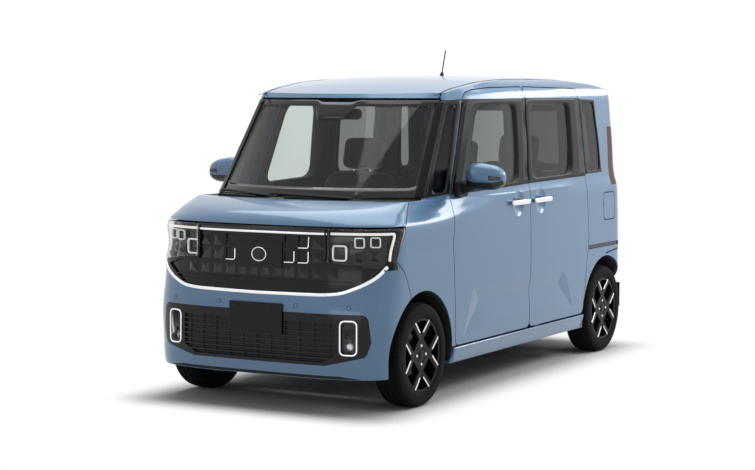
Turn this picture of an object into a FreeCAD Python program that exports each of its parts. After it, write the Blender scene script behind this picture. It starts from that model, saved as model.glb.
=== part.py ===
"""Tall five-door kei wagon, built as separate panels, glass, wheels and running gear.

Frame: +X is the left of the car, the nose faces -Y, +Z is up, and the origin lies on the
ground under the middle of the length. Lengths are in millimetres.
"""
import FreeCAD, Part
import math
import os

import Sketcher
from FreeCAD import Placement, Rotation, Vector

PARTS_FOLDER = "parts"

# Driving sizes: alias, value, what it measures.
DRIVING = (
    ("wheelbase", 2495, "front axle to rear axle"),
    ("front_overhang", 519, "nose to front axle"),
    ("rear_overhang", 381, "rear axle to tail"),
    ("overall_width", 1475, "across the widest body line"),
    ("roof_height", 1785, "ground to roof crown"),
    ("skirt_height", 192, "ground to lower edge of the body skin"),
    ("cowl_height", 1104, "ground to the top of the lower body"),
    ("rail_top_height", 1775, "top of the cabin side master"),
    ("track_front", 1300, "between front tyre centres"),
    ("track_rear", 1290, "between rear tyre centres"),
    ("tyre_radius", 281, "outer radius of the tyre"),
    ("tyre_width", 165, "section width"),
    ("tyre_shoulder", 14, "radius lost at the tread shoulder"),
    ("sidewall_lip", 9, "tyre bead beyond the rim flange"),
    ("rim_radius", 190.5, "radius of the bead seat"),
    ("rim_width", 140, "between the rim flanges"),
    ("rim_flange", 8, "height of the rim flange"),
    ("rim_wall", 5, "thickness of the rim barrel"),
    ("spoke_plane", 52, "outer spoke face ahead of the wheel centre"),
    ("spoke_depth", 22, "thickness of a spoke"),
    ("spoke_width", 30, "width of a spoke"),
    ("spoke_offset", 70, "spoke centre line from the wheel centre"),
    ("hub_face_radius", 72, "radius of the bolting face"),
    ("hub_bore_radius", 28, "radius of the centre cap seat"),
    ("hub_depth", 46, "depth of the wheel hub"),
    ("bolt_circle", 50, "radius of the lug circle"),
    ("lug_radius", 6.5, "radius of a lug hole"),
    ("wheel_fit", 0.3, "face gap between wheel, hub and tyre"),
    ("arch_radius", 346, "radius of the wheel opening"),
    ("liner_wall", 6, "thickness of a wheelhouse liner"),
    ("arch_lift", 0, "arch centre above the wheel centre"),
    ("shut_gap", 5.6, "gap between two outer panels"),
    ("step_inset", 24, "inner door box behind the outer skin edge"),
    ("skin_depth", 20, "depth of the outer door skin"),
    ("door_depth", 62, "whole depth of a door or body side"),
    ("panel_wall", 18, "depth of bumper, wing and bonnet panels"),
    ("roof_wall", 24, "depth of the roof panel"),
    ("lamp_depth", 70, "depth of a lamp housing"),
    ("ditch_gap", 7, "half width of the roof ditch"),
    ("slot_depth", 16, "depth of the slide rail slot"),
    ("glass_inset", 4, "glass face behind the body line"),
    ("glass_wall", 5, "thickness of the glazing"),
    ("glass_fit", 0.3, "gap round each pane"),
    ("hinge_set_back", 60, "door hinge pin behind the door's front edge"),
    ("hinge_low", 545, "ground to the lower hinge"),
    ("hinge_high", 900, "ground to the upper hinge"),
    ("hinge_leaf_height", 44, "height of a hinge leaf"),
    ("hinge_leaf_wall", 6, "thickness of a hinge leaf"),
    ("hinge_leaf_reach", 67, "hinge leaf inboard of the pin"),
    ("hinge_pin_radius", 7, "radius of the hinge pin"),
    ("hinge_room", 10, "room round a hinge leaf"),
    ("hinge_notch", 90, "length of the notch at a hinge"),
    ("post_width", 56, "width of the hinge post"),
    ("post_length", 60, "length of the hinge post"),
    ("barrel_radius", 2.5, "radius of a small hinge barrel"),
    ("barrel_length", 60, "length of a small hinge barrel"),
    ("gate_hinge_side", 270, "tailgate hinge from the middle"),
    ("corner_round", 38, "radius of a door corner"),
    ("pane_round", 30, "radius of a pane corner"),
    ("overrun", 40, "extra length of every cutting body"),
    ("seat_fit", 0.3, "gap where one fixed piece rests on another"),
    ("panel_reach", 582, "inner limit of the side panels from the middle"),
    ("side_reach", 420, "how far a side cutter reaches inboard"),
    ("floor_height", 200, "ground to the floor underside"),
    ("floor_wall", 26, "depth of the floor section"),
    ("floor_half", 650, "half width of the floor"),
    ("rear_floor_height", 400, "ground to the load floor underside"),
    ("rear_floor_half", 520, "half width of the load floor"),
    ("firewall_set_back", 98, "firewall behind the front axle"),
    ("bulkhead_wall", 16, "thickness of firewall and riser"),
    ("firewall_top", 1060, "ground to firewall top"),
    ("rail_spacing", 700, "between the front rails"),
    ("rail_size", 64, "side of a front rail"),
    ("rail_height", 470, "ground to the front rail centre"),
    ("rail_nose", 1560, "front rail end from the middle"),
    ("housing_half", 395, "inner face of the front wheelhouse"),
    ("rear_riser_lead", 395, "rear riser ahead of the rear axle"),
    ("floor_tail", 1600, "load floor end from the middle"),
    ("engine_width", 560, "engine across the car"),
    ("engine_length", 330, "engine along the car"),
    ("engine_height", 470, "engine height"),
    ("engine_base", 235, "ground to the sump"),
    ("arm_radius", 14, "radius of a suspension arm"),
    ("crossmember_size", 60, "side of the front crossmember"),
    ("crossmember_height", 245, "ground to the crossmember centre"),
    ("hub_inset", 36, "hub face inboard of the tyre centre"),
    ("disc_radius", 118, "radius of the brake disc"),
    ("disc_wall", 12, "thickness of the brake disc"),
    ("hub_radius", 62, "radius of the hub flange"),
    ("hub_wall", 12, "thickness of the hub flange"),
    ("knuckle_radius", 40, "radius of the knuckle barrel"),
    ("knuckle_length", 70, "length of the knuckle barrel"),
    ("strut_radius", 24, "radius of the damper tube"),
    ("strut_length", 500, "length of the damper tube"),
    ("strut_top_gap", 0.3, "gap under the strut mount"),
    ("pin_low_inset", 60, "lower ball joint inboard of the tyre centre"),
    ("pin_low_height", 190, "ground to the lower ball joint"),
    ("pin_high_inset", 130, "strut axis inboard of the tyre centre at tyre top"),
    ("pin_high_height", 562, "height where that inset is taken"),
    ("ball_radius", 17, "radius of the ball joint boss"),
    ("strut_well", 16, "clearance round the strut in its housing"),
    ("tower_half", 70, "half width of the strut tower"),
    ("beam_radius", 34, "radius of the rear beam"),
    ("trail_width", 50, "width of a trailing arm"),
    ("trail_side", 430, "trailing arm centre from the middle"),
    ("silencer_side", 250, "silencer right of the middle"),
    ("dash_slope", 60, "chamfer of the dashboard edge"),
    ("column_length", 200, "length of the column cover"),
    ("antenna_side", 0, "antenna left of the middle"),
    ("plate_lift", 6, "depth of the rear plate backing"),
    ("plate_hole_depth", 8, "depth of a plate bolt hole"),
    ("tank_length", 560, "fuel tank along the car"),
    ("tank_width", 620, "fuel tank across the car"),
    ("tank_height", 52, "fuel tank depth"),
    ("tank_front", 120, "front of the tank behind the middle"),
    ("pipe_radius", 22, "radius of the exhaust pipe"),
    ("pipe_side", 370, "pipe to the right of the middle"),
    ("silencer_radius", 60, "radius of the silencer"),
    ("silencer_length", 220, "length of the silencer"),
    ("silencer_height", 250, "ground to the silencer centre"),
    ("silencer_back", 60, "silencer behind the rear axle"),
    ("tailpipe_end", 1672, "tail pipe end from the middle"),
    ("dash_height", 640, "ground to the dashboard underside"),
    ("dash_top", 985, "ground to the dashboard top"),
    ("dash_front", 1064, "front of the dashboard from the middle"),
    ("dash_rear", 700, "rear of the dashboard from the middle"),
    ("dash_half", 612, "half width of the dashboard"),
    ("wheel_rim_radius", 180, "radius of the steering wheel"),
    ("wheel_rim_tube", 14, "radius of the steering wheel rim"),
    ("wheel_boss_radius", 62, "radius of the steering boss"),
    ("wheel_boss_depth", 44, "depth of the steering boss"),
    ("wheel_spoke_width", 34, "width of a steering spoke"),
    ("wheel_centre_side", 330, "steering wheel right of the middle"),
    ("wheel_centre_back", 560, "steering wheel ahead of the middle"),
    ("wheel_centre_height", 940, "ground to the steering wheel centre"),
    ("column_rake", 26, "degrees the column leans from level"),
    ("column_radius", 26, "radius of the column cover"),
    ("seat_width", 490, "width of a front seat"),
    ("seat_side", 318, "front seat centre from the middle"),
    ("seat_front", 640, "front of the front cushion"),
    ("cushion_length", 500, "length of a cushion"),
    ("cushion_height", 130, "thickness of a cushion"),
    ("cushion_base", 420, "ground to the front cushion underside"),
    ("backrest_height", 600, "height of a backrest"),
    ("backrest_depth", 120, "thickness of a backrest"),
    ("backrest_rake", 14, "degrees a backrest leans"),
    ("headrest_width", 250, "width of a headrest"),
    ("headrest_height", 170, "height of a headrest"),
    ("headrest_depth", 95, "thickness of a headrest"),
    ("headrest_gap", 26, "headrest above the backrest"),
    ("post_radius", 7, "radius of a headrest post"),
    ("seat_round", 34, "radius of a cushion edge"),
    ("seat_base_width", 380, "width of the seat frame"),
    ("rear_seat_front", 560, "front of the rear cushion behind the middle"),
    ("rear_seat_width", 1120, "width of the rear bench"),
    ("rear_cushion_base", 430, "ground to the rear cushion underside"),
    ("antenna_base_radius", 14, "radius of the antenna foot"),
    ("antenna_height", 150, "length of the antenna mast"),
    ("antenna_rake", 19, "degrees the mast leans back"),
    ("antenna_radius", 3.5, "radius of the mast"),
    ("antenna_back", 420, "antenna behind the middle"),
    ("plate_width", 330, "number plate width"),
    ("plate_height", 165, "number plate height"),
    ("plate_wall", 3, "number plate thickness"),
    ("plate_base", 412, "ground to the front plate"),
    ("plate_hole_spacing", 210, "between the plate bolts"),
    ("plate_hole_radius", 3.5, "radius of a plate bolt hole"),
    ("plate_hole_drop", 20, "bolt centre below the plate top"),
    ("rear_plate_base", 700, "ground to the rear plate"),
    ("wiper_radius", 6, "radius of a wiper arm"),
    ("cowl_wall", 14, "thickness of the cowl panel"),
    ("lid_reach", 85, "half height and half length of the fuel lid"),
    ("lid_round", 26, "corner radius of the fuel lid"),
    ("lid_wall", 8, "thickness of the fuel lid"),
    ("filler_depth", 40, "depth of the filler pocket"),
    ("mirror_width", 185, "mirror head across"),
    ("mirror_height", 150, "mirror head height"),
    ("mirror_depth", 92, "mirror head along the car"),
    ("mirror_round", 30, "radius of a mirror edge"),
    ("mirror_base_height", 1105, "ground to the mirror head"),
    ("mirror_back", 735, "mirror face ahead of the middle"),
    ("mirror_gap", 34, "mirror head outboard of the door"),
    ("mirror_stalk", 44, "side of the mirror stalk"),
    ("roller_width", 30, "width of a sliding door foot"),
    ("roller_length", 70, "length of a sliding door foot"),
    ("roller_height", 60, "height of a sliding door foot"),
    ("roller_back", 300, "sliding door foot behind the middle"),
    ("handle_length", 240, "door handle length"),
    ("handle_height", 24, "door handle height"),
    ("handle_depth", 14, "door handle depth"),
    ("handle_gap", 12, "handle ahead of the door skin"),
    ("handle_foot", 22, "length of a handle foot"),
    ("grille_wall", 30, "depth of the grille moulding"),
    ("mould_recess", 13, "floor of grille, intake slots and fog lamps behind the skin"),
    ("facet_side", 74, "side of a grille pyramid at its foot"),
    ("facet_tip", 5, "side of the flat on a pyramid"),
    ("facet_sink", 3, "pyramid foot below the grille floor"),
    ("facet_drop", 1, "pyramid tip behind the skin"),
    ("pocket_side", 62, "side of a square grille pocket"),
    ("pocket_depth", 7, "pocket behind the grille floor"),
    ("panel_half", 142, "half width of the plain centre panel"),
    ("panel_half_height", 70, "half height of the centre panel"),
    ("panel_height", 828, "ground to the centre panel's middle"),
    ("slat_height", 5, "height of a grille slat"),
    ("slot_height", 19, "height of an intake slot"),
    ("slot_rib", 8, "bar between two intake slots"),
    ("fog_rim", 9, "rim round a fog lamp"),
    ("fog_lens_radius", 26, "radius of a fog lens"),
    ("fog_lens_height", 362, "ground to a fog lens"),
    ("cup_half", 76, "half width of the dish behind a handle"),
    ("cup_depth", 15, "depth of that dish"),
    ("handle_line", 1041, "ground to the door handles"),
    ("front_handle_back", 0, "front handle behind the middle"),
    ("slide_handle_back", 309, "sliding door handle behind the middle"),
    ("handle_round", 5, "radius of a handle edge"),
    ("sculpt_depth", 12, "deepest line of the door scoop"),
    ("sculpt_proud", 0.5, "scoop tool ahead of the skin at its edge"),
    ("intake_depth", 24, "depth of the intake grid"),
    ("fog_depth", 50, "depth of a fog lamp"),
)


class Size:
    """A length that carries both its value and its spreadsheet expression."""

    def __init__(self, text, value):
        """Keep the expression text and its present value.

        Args:
            text: expression in the spreadsheet's aliases.
            value: the number that the expression has now.
        """
        self.text = text
        self.value = float(value)

    def _join(self, other, sign, value):
        if isinstance(other, Size):
            right = other.text
        else:
            right = repr(other)
        return Size("(%s %s %s)" % (self.text, sign, right), value)

    def __add__(self, other):
        return self._join(other, "+", self.value + float(other))

    def __sub__(self, other):
        return self._join(other, "-", self.value - float(other))

    def __mul__(self, other):
        return self._join(other, "*", self.value * float(other))

    def __truediv__(self, other):
        return self._join(other, "/", self.value / float(other))

    def root(self):
        """Square root of the value."""
        return Size("sqrt(%s)" % self.text, math.sqrt(self.value))

    def __neg__(self):
        return Size("(0 - %s)" % self.text, -self.value)

    def __float__(self):
        return self.value


class Sheet:
    """The spreadsheet and its sizes as attributes."""

    def __init__(self, document, rows):
        """Write every driving size in a cell of its own.

        Args:
            document: the FreeCAD document.
            rows: alias, value and note of each size.
        """
        self.cells = document.addObject("Spreadsheet::Sheet", "Sizes")
        for number, (alias, value, note) in enumerate(rows, start=1):
            self.cells.set("A%d" % number, note)
            self.cells.set("B%d" % number, repr(value))
            self.cells.setAlias("B%d" % number, alias)
        document.recompute()
        self.names = [alias for alias, value, note in rows]

    def __getattr__(self, alias):
        return Size("Sizes." + alias, self.cells.get(alias))


doc = FreeCAD.newDocument("kei_wagon")
s = Sheet(doc, DRIVING)

LENGTH = s.front_overhang + s.wheelbase + s.rear_overhang
HALF_WIDTH = s.overall_width / 2
FRONT_AXLE = s.front_overhang - LENGTH / 2
REAR_AXLE = LENGTH / 2 - s.rear_overhang
LONG = float(LENGTH)
WIDE = float(HALF_WIDTH)
TALL = float(s.roof_height)
FAR = float(s.overrun)

# Section of the body side: height share, inset share.
SIDE_SHARES = (
    (0.09524, 0.02983), (0.15966, 0.01356), (0.28011, 0.00271), (0.39216, 0),
    (0.5042, 0.00203), (0.56583, 0.00678), (0.63305, 0.0122),
)
# Shoulder crease along the car: length share, height share.
CREASE_SHARES = (
    (-0.41237, 0.5535), (-0.24654, 0.55574), (-0.15434, 0.56415), (-0.11193, 0.58543),
    (-0.06863, 0.60784), (0.01502, 0.61569), (0.15317, 0.62857), (0.2271, 0.62073),
    (0.26362, 0.58655), (0.46627, 0.59552),
)
BELT_SHARES = (
    (-0.39323, 0.62521), (0.2975, 0.64986), (0.50074, 0.65714),
)
# Lean of the cabin side above the belt: height share, inset share.
LEAN_SHARES = (
    (0.62185, 0), (0.78431, 0.02441), (0.92157, 0.04881), (0.95238, 0.0678),
    (0.97479, 0.10576), (0.98599, 0.15186), (1.0056, 0.27119),
)
BELT_HALF_SHARE = 0.97356
NOSE_TAPER_SHARE = 0.07186
TAPER_POWER_SHARE = 2.4
TAIL_TAPER_SHARE = 0.01356
TAIL_TAPER_START_SHARE = 0.08837
# Centre line of the nose and bonnet: height share, length share, fullness of the plan curve.
NOSE_SHARES = (
    (0.10756, -0.49514, 3.4), (0.16807, -0.4975, 3.4), (0.23529, -0.49779, 3.4),
    (0.30252, -0.4972, 3.3), (0.34174, -0.49485, 3.1), (0.36415, -0.49308, 3),
    (0.44818, -0.49131, 2.75), (0.5042, -0.49043, 2.65), (0.5507, -0.48748, 2.55),
    (0.56863, -0.48071, 2.5), (0.58543, -0.46834, 2.4), (0.60056, -0.44772, 2.35),
    (0.61176, -0.42268, 2.3), (0.61849, -0.39823, 2.2),
)
# Where the side line hands over to the nose curve: height share, length share.
NOSE_START_SHARES = (
    (0.10756, -0.40943), (0.5507, -0.40648), (0.58543, -0.38586), (0.61849, -0.36406),
)
TAIL_SHARES = (
    (0.10756, 0.49691), (0.16807, 0.49897), (0.23529, 0.49956), (0.30252, 0.49867),
    (0.34174, 0.49661), (0.44818, 0.49249), (0.62297, 0.48748), (0.72829, 0.48218),
    (0.81961, 0.4757), (0.89636, 0.46686), (0.95238, 0.45596), (0.9944, 0.44624),
)
TAIL_START_SHARE = 0.43593
TAIL_FULLNESS_SHARE = 3
SIDE_STATION_SHARES = (0, 0.06, 0.115, 0.18, 0.25, 0.32, 0.39, 0.46, 0.54, 0.62, 0.70, 0.78, 0.86, 0.93, 1)
# Windscreen: height share, centre length share, corner length share, corner half width share.
SCREEN_SHARES = (
    (0.61849, -0.3782, -0.31252, 0.90305), (0.72829, -0.33108, -0.27482, 0.87322),
    (0.84034, -0.28306, -0.23623, 0.84339), (0.93333, -0.2433, -0.20412, 0.81898),
    (1.0056, -0.21237, -0.1785, 0.8),
)
SCREEN_POWER_SHARE = 2.2
# Roof crown: length share, height share on the centre line.
CROWN_SHARES = (
    (-0.44183, 0.80672), (-0.35346, 0.87395), (-0.29455, 0.90868), (-0.24212, 0.93782),
    (-0.17673, 0.96583), (-0.08837, 0.98824), (0, 0.99776), (0.11782, 1), (0.23564, 0.99776),
    (0.35346, 0.98711), (0.4271, 0.97255), (0.51546, 0.94678),
)
CROWN_DROP_SHARE = 0.01289
CROWN_REACH_SHARE = 0.81356
LOWER_LEVEL_SHARES = (
    0.10756, 0.16807, 0.23529, 0.30252, 0.34174, 0.36415, 0.40336, 0.44818, 0.5042, 0.5507,
    0.56863, 0.58543, 0.60056, 0.61176, 0.61849,
)
UPPER_LEVEL_SHARES = (
    0.61849, 0.65266, 0.72829, 0.81232, 0.89636, 0.92437, 0.94398, 0.9591, 0.97199, 0.98151,
    0.9916, 1.0056,
)


def table(shares, value, column=1):
    """Read a share table by straight lines between its rows.

    Args:
        shares: rows that start with the share looked up.
        value: the share to look up.
        column: which entry of the row is returned.

    Returns:
        The share in that column.
    """
    if value <= shares[0][0]:
        return shares[0][column]
    for low, high in zip(shares, shares[1:]):
        if value <= high[0]:
            part = (value - low[0]) / (high[0] - low[0])
            return low[column] + (high[column] - low[column]) * part
    return shares[-1][column]


def belt_half(y, z):
    """Half width at the belt and above it, narrowed to the nose and the tail."""
    height = z / TALL
    half = BELT_HALF_SHARE * WIDE
    lean = table(LEAN_SHARES, height) * WIDE
    aft = max(y / LONG - TAIL_TAPER_START_SHARE, 0) / (TAIL_START_SHARE - TAIL_TAPER_START_SHARE)
    full = half - lean - TAIL_TAPER_SHARE * WIDE * aft ** 2
    if y >= 0:
        return full
    corner = table(SCREEN_SHARES, height, 2) * LONG
    corner_half = table(SCREEN_SHARES, height, 3) * WIDE
    forward = min(y / corner, 1)
    return full - (full - corner_half) * forward ** TAPER_POWER_SHARE


def side_half(y, z):
    """Half width of the whole body at a station and a height."""
    crease = table(CREASE_SHARES, y / LONG) * TALL
    belt = table(BELT_SHARES, y / LONG) * TALL
    lower = WIDE - table(SIDE_SHARES, min(z, crease) / TALL) * WIDE
    if z <= crease:
        return lower
    upper = belt_half(y, max(z, belt))
    if z >= belt:
        return upper
    return lower + (upper - lower) * (z - crease) / (belt - crease)


def spline(points):
    """One smooth edge through the points, with even parameters."""
    curve = Part.BSplineCurve()
    last = len(points) - 1
    steps = [number / last for number in range(len(points))]
    curve.interpolate(Points=points, Parameters=steps)
    return curve.toShape()


def bow(half, start, middle, fullness, level, count):
    """Points of a plan curve from the left side round to the right side.

    Args:
        half: half width where the curve starts.
        start: station where it starts.
        middle: station on the centre line.
        fullness: 2 for an ellipse, more for a squarer corner.
        level: height of the points.
        count: points on each half.

    Returns:
        The points, left to right.
    """
    left = []
    for number in range(count + 1):
        angle = math.pi / 2 * number / count
        across = abs(math.cos(angle)) ** (2 / fullness)
        along = abs(math.sin(angle)) ** (2 / fullness)
        if number == count:
            across = 0
        left.append(Vector(half * across, start + (middle - start) * along, level))
    right = [Vector(-point.x, point.y, point.z) for point in reversed(left[:-1])]
    return left + right


def section(height, level, inset, cabin):
    """Closed plan section of the body.

    Args:
        height: height whose shape is taken.
        level: height at which it is drawn.
        inset: how far inside the outer skin it lies.
        cabin: True above the cowl, where the screen is the front.

    Returns:
        The closed wire.
    """
    share = height / TALL
    tail_start = TAIL_START_SHARE * LONG
    if cabin:
        middle = table(SCREEN_SHARES, share) * LONG + inset * 1.35
        start = table(SCREEN_SHARES, share, 2) * LONG + inset * 1.1
        half = table(SCREEN_SHARES, share, 3) * WIDE - inset
        left = []
        count = 6
        for number in range(count + 1):
            part = 1 - number / count
            left.append(Vector(half * part, middle + (start - middle) * part ** SCREEN_POWER_SHARE, level))
        front = left + [Vector(-point.x, point.y, point.z) for point in reversed(left[:-1])]
    else:
        start = table(NOSE_START_SHARES, share) * LONG
        middle = table(NOSE_SHARES, share) * LONG + inset
        fullness = table(NOSE_SHARES, share, 2)
        front = bow(side_half(start, height) - inset, start, middle, fullness, level, 6)
    stations = [start + (tail_start - start) * part for part in SIDE_STATION_SHARES]
    left = [Vector(side_half(y, height) - inset, y, level) for y in stations]
    left[0] = front[0]
    right = [Vector(-point.x, point.y, point.z) for point in left]
    tail_middle = table(TAIL_SHARES, share) * LONG - inset
    tail = bow(left[-1].x, tail_start, tail_middle, TAIL_FULLNESS_SHARE, level, 6)
    return Part.Wire([spline(front), spline(right), spline(list(reversed(tail))), spline(left)])


def body_master(inset, cabin, stretch=0):
    """Solid of the lower body or the cabin at an inset.

    Args:
        inset: how far inside the outer skin it lies.
        cabin: True for the cabin.
        stretch: how far its ends are pushed out.

    Returns:
        The solid.
    """
    if cabin:
        levels = [share * TALL for share in UPPER_LEVEL_SHARES]
    else:
        levels = [share * TALL for share in LOWER_LEVEL_SHARES]
    wires = []
    for number, height in enumerate(levels):
        level = height
        if number == 0:
            level = height - stretch
        if number == len(levels) - 1:
            level = height + stretch
        wires.append(section(height, level, inset, cabin))
    return Part.makeLoft(wires, True, False)


def crown_height(x, y):
    """Height of the roof skin over a point of the plan."""
    drop = CROWN_DROP_SHARE * TALL * abs(x / (CROWN_REACH_SHARE * WIDE)) ** 2
    return table(CROWN_SHARES, y / LONG) * TALL - drop


def crown_solid(inset):
    """Everything under the roof skin, down to the belt."""
    grid = []
    rows = len(CROWN_SHARES) * 2
    first = CROWN_SHARES[0][0] * LONG
    last = CROWN_SHARES[-1][0] * LONG
    for row in range(rows + 1):
        y = first + (last - first) * row / rows
        line = []
        for column in range(-4, 5):
            x = WIDE * 1.05 * column / 4
            line.append(Vector(x, y, crown_height(x, y) - inset))
        grid.append(line)
    surface = Part.BSplineSurface()
    surface.interpolate(grid)
    depth = TALL - float(s.cowl_height) + FAR
    return surface.toShape().extrude(Vector(0, 0, -depth * 2))


def flat_ring(points, radius):
    """Closed wire through the corners, each one rounded.

    Args:
        points: corners in order, in one plane.
        radius: radius of each corner.

    Returns:
        The wire.
    """
    edges = []
    marks = []
    count = len(points)
    for number, corner in enumerate(points):
        before = points[number - 1]
        after = points[(number + 1) % count]
        inward = (before - corner).normalize()
        outward = (after - corner).normalize()
        angle = inward.getAngle(outward)
        reach = radius / math.tan(angle / 2)
        limit = 0.45 * min((before - corner).Length, (after - corner).Length)
        if math.pi - angle < 0.12:
            reach = 0
        reach = min(reach, limit)
        if reach <= 0:
            marks.append((corner, corner, None))
            continue
        start = corner + inward * reach
        end = corner + outward * reach
        bulge = (inward + outward).normalize()
        real = reach * math.tan(angle / 2)
        centre = corner + bulge * (real / math.sin(angle / 2))
        marks.append((start, end, centre - bulge * real))
    for number, (start, end, middle) in enumerate(marks):
        previous_end = marks[number - 1][1]
        if (start - previous_end).Length > 1e-6:
            edges.append(Part.LineSegment(previous_end, start).toShape())
        if middle is not None:
            edges.append(Part.Arc(start, middle, end).toShape())
    return Part.Wire(edges)


def grown(points, gap):
    """Corners of a closed plane outline moved outwards by a gap.

    Args:
        points: corners as pairs, in order.
        gap: distance, negative for inwards.

    Returns:
        The new pairs.
    """
    count = len(points)
    area = 0
    for number, (across, up) in enumerate(points):
        next_across, next_up = points[(number + 1) % count]
        area += across * next_up - next_across * up
    turn = 1 if area > 0 else -1
    moved = []
    for number, (across, up) in enumerate(points):
        before = points[number - 1]
        after = points[(number + 1) % count]
        first = (across - before[0], up - before[1])
        second = (after[0] - across, after[1] - up)
        first_length = math.hypot(*first)
        second_length = math.hypot(*second)
        first_normal = (first[1] / first_length * turn, -first[0] / first_length * turn)
        second_normal = (second[1] / second_length * turn, -second[0] / second_length * turn)
        blend = 1 + first_normal[0] * second_normal[0] + first_normal[1] * second_normal[1]
        step_across = (first_normal[0] + second_normal[0]) / blend
        step_up = (first_normal[1] + second_normal[1]) / blend
        moved.append((across + gap * step_across, up + gap * step_up))
    return moved


def side_points(shares):
    """Length and height shares as millimetres."""
    return [(along * LONG, up * TALL) for along, up in shares]


def face_points(shares):
    """Width and height shares as millimetres."""
    return [(across * WIDE, up * TALL) for across, up in shares]


def side_prism(pairs, radius, low=None, high=None):
    """Prism across the car over an outline seen from the left."""
    if low is None:
        low = float(s.panel_reach)
    if high is None:
        high = WIDE + FAR * 6
    ring = flat_ring([Vector(low, y, z) for y, z in pairs], radius)
    return Part.Face(ring).extrude(Vector(high - low, 0, 0))


def face_prism(pairs, radius, low, high):
    """Prism along the car over an outline seen from the front."""
    ring = flat_ring([Vector(x, low, z) for x, z in pairs], radius)
    return Part.Face(ring).extrude(Vector(0, high - low, 0))


def plan_prism(pairs, radius, low, high):
    """Upright prism over an outline seen from above."""
    ring = flat_ring([Vector(x, y, low) for x, y in pairs], radius)
    return Part.Face(ring).extrude(Vector(0, 0, high - low))


def both(shape):
    """The left shape and its mirror image as one compound."""
    other = shape.mirror(Vector(0, 0, 0), Vector(1, 0, 0))
    return Part.makeCompound(shape.Solids + other.Solids)


def right_of(shape):
    """The mirror image of a left shape."""
    other = shape.mirror(Vector(0, 0, 0), Vector(1, 0, 0))
    return Part.makeCompound(other.Solids)


def main_solid(shape):
    """The largest solid of a shape, without slivers."""
    return max(shape.Solids, key=lambda solid: solid.Volume)


def joined(*shapes):
    """One solid from shapes that meet face to face."""
    result = shapes[0]
    for other in shapes[1:]:
        result = result.fuse(other)
    return result.removeSplitter()


sub_parts = []


def keep(label, shape):
    """Store a finished shape as a document object of its own.

    Args:
        label: the name of the sub-part.
        shape: its shape in the car's frame.

    Returns:
        The document object.
    """
    item = doc.addObject("Part::Feature", label)
    item.Label = label
    item.Shape = shape
    item.Placement = Placement()
    sub_parts.append(item)
    return item


def keep_object(label, item):
    """Name a parametric object as a sub-part."""
    item.Label = label
    sub_parts.append(item)
    return item


def bind(item, **sizes):
    """Set properties of an object from named sizes.

    Args:
        item: the document object.
        sizes: property name and Size; two underscores stand for a dot.
    """
    for name, size in sizes.items():
        item.setExpression(name.replace("__", "."), size.text)


def place(item, x=None, y=None, z=None):
    """Bind the position of an object to named sizes."""
    for axis, size in (("x", x), ("y", y), ("z", z)):
        if size is not None:
            item.setExpression("Placement.Base." + axis, size.text)


def box(name, length, width, height, x, y, z):
    """Part::Box centred on x, starting at y and z, with bound sizes."""
    item = doc.addObject("Part::Box", name)
    bind(item, Length=length, Width=width, Height=height)
    place(item, x - length / 2, y, z)
    return item


def rod(name, radius, length, x, y, z, axis):
    """Part::Cylinder from a point along an axis, with bound sizes."""
    item = doc.addObject("Part::Cylinder", name)
    item.Placement = Placement(Vector(0, 0, 0), Rotation(Vector(0, 0, 1), axis))
    bind(item, Radius=radius, Height=length)
    place(item, x, y, z)
    return item


def union(name, *items):
    """Part::MultiFuse of objects."""
    item = doc.addObject("Part::MultiFuse", name)
    item.Shapes = list(items)
    item.Refine = True
    return item


def group(name, *items):
    """Part::Compound of separate like pieces."""
    item = doc.addObject("Part::Compound", name)
    item.Links = list(items)
    return item


def difference(name, base, tool):
    """Part::Cut of two objects."""
    item = doc.addObject("Part::Cut", name)
    item.Base = base
    item.Tool = tool
    return item


def mirrored(name, source):
    """Part::Mirroring of an object in the middle plane."""
    item = doc.addObject("Part::Mirroring", name)
    item.Source = source
    item.Normal = Vector(1, 0, 0)
    return item


def plane_of(body, role):
    """The origin plane of a body with a role such as XY_Plane."""
    for feature in body.Origin.OriginFeatures:
        if feature.Role == role:
            return feature
    raise ValueError(role)


def outline_sketch(body, name, role, points):
    """Closed polygon sketch whose corners are bound to sizes.

    Args:
        body: the body that owns the sketch.
        name: name of the sketch.
        role: origin plane.
        points: corners as pairs of Size.

    Returns:
        The sketch.
    """
    sketch = body.newObject("Sketcher::SketchObject", name)
    sketch.AttachmentSupport = [(plane_of(body, role), "")]
    sketch.MapMode = "FlatFace"
    count = len(points)
    for number, (across, up) in enumerate(points):
        next_across, next_up = points[(number + 1) % count]
        start = Vector(float(across), float(up), 0)
        end = Vector(float(next_across), float(next_up), 0)
        sketch.addGeometry(Part.LineSegment(start, end), False)
    for number in range(count):
        following = (number + 1) % count
        sketch.addConstraint(Sketcher.Constraint("Coincident", number, 2, following, 1))
    for number, (across, up) in enumerate(points):
        for kind, size in (("DistanceX", across), ("DistanceY", up)):
            index = sketch.addConstraint(
                Sketcher.Constraint(kind, -1, 1, number, 1, float(size)))
            label = "%s%d" % (kind.lower(), number)
            sketch.renameConstraint(index, label)
            sketch.setExpression("Constraints." + label, size.text)
    return sketch


def revolved_body(name, role, points, axis):
    """PartDesign body turned from a bound outline about an origin axis."""
    body = doc.addObject("PartDesign::Body", name)
    sketch = outline_sketch(body, name + "_profile", role, points)
    turn = body.newObject("PartDesign::Revolution", name + "_turn")
    turn.Profile = sketch
    turn.ReferenceAxis = (sketch, [axis])
    turn.Angle = 360
    return body


def padded_body(name, role, points, length, symmetric=True):
    """PartDesign body padded from a bound outline."""
    body = doc.addObject("PartDesign::Body", name)
    sketch = outline_sketch(body, name + "_outline", role, points)
    pad = body.newObject("PartDesign::Pad", name + "_pad")
    pad.Profile = sketch
    pad.Midplane = symmetric
    pad.setExpression("Length", length.text)
    return body


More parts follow.
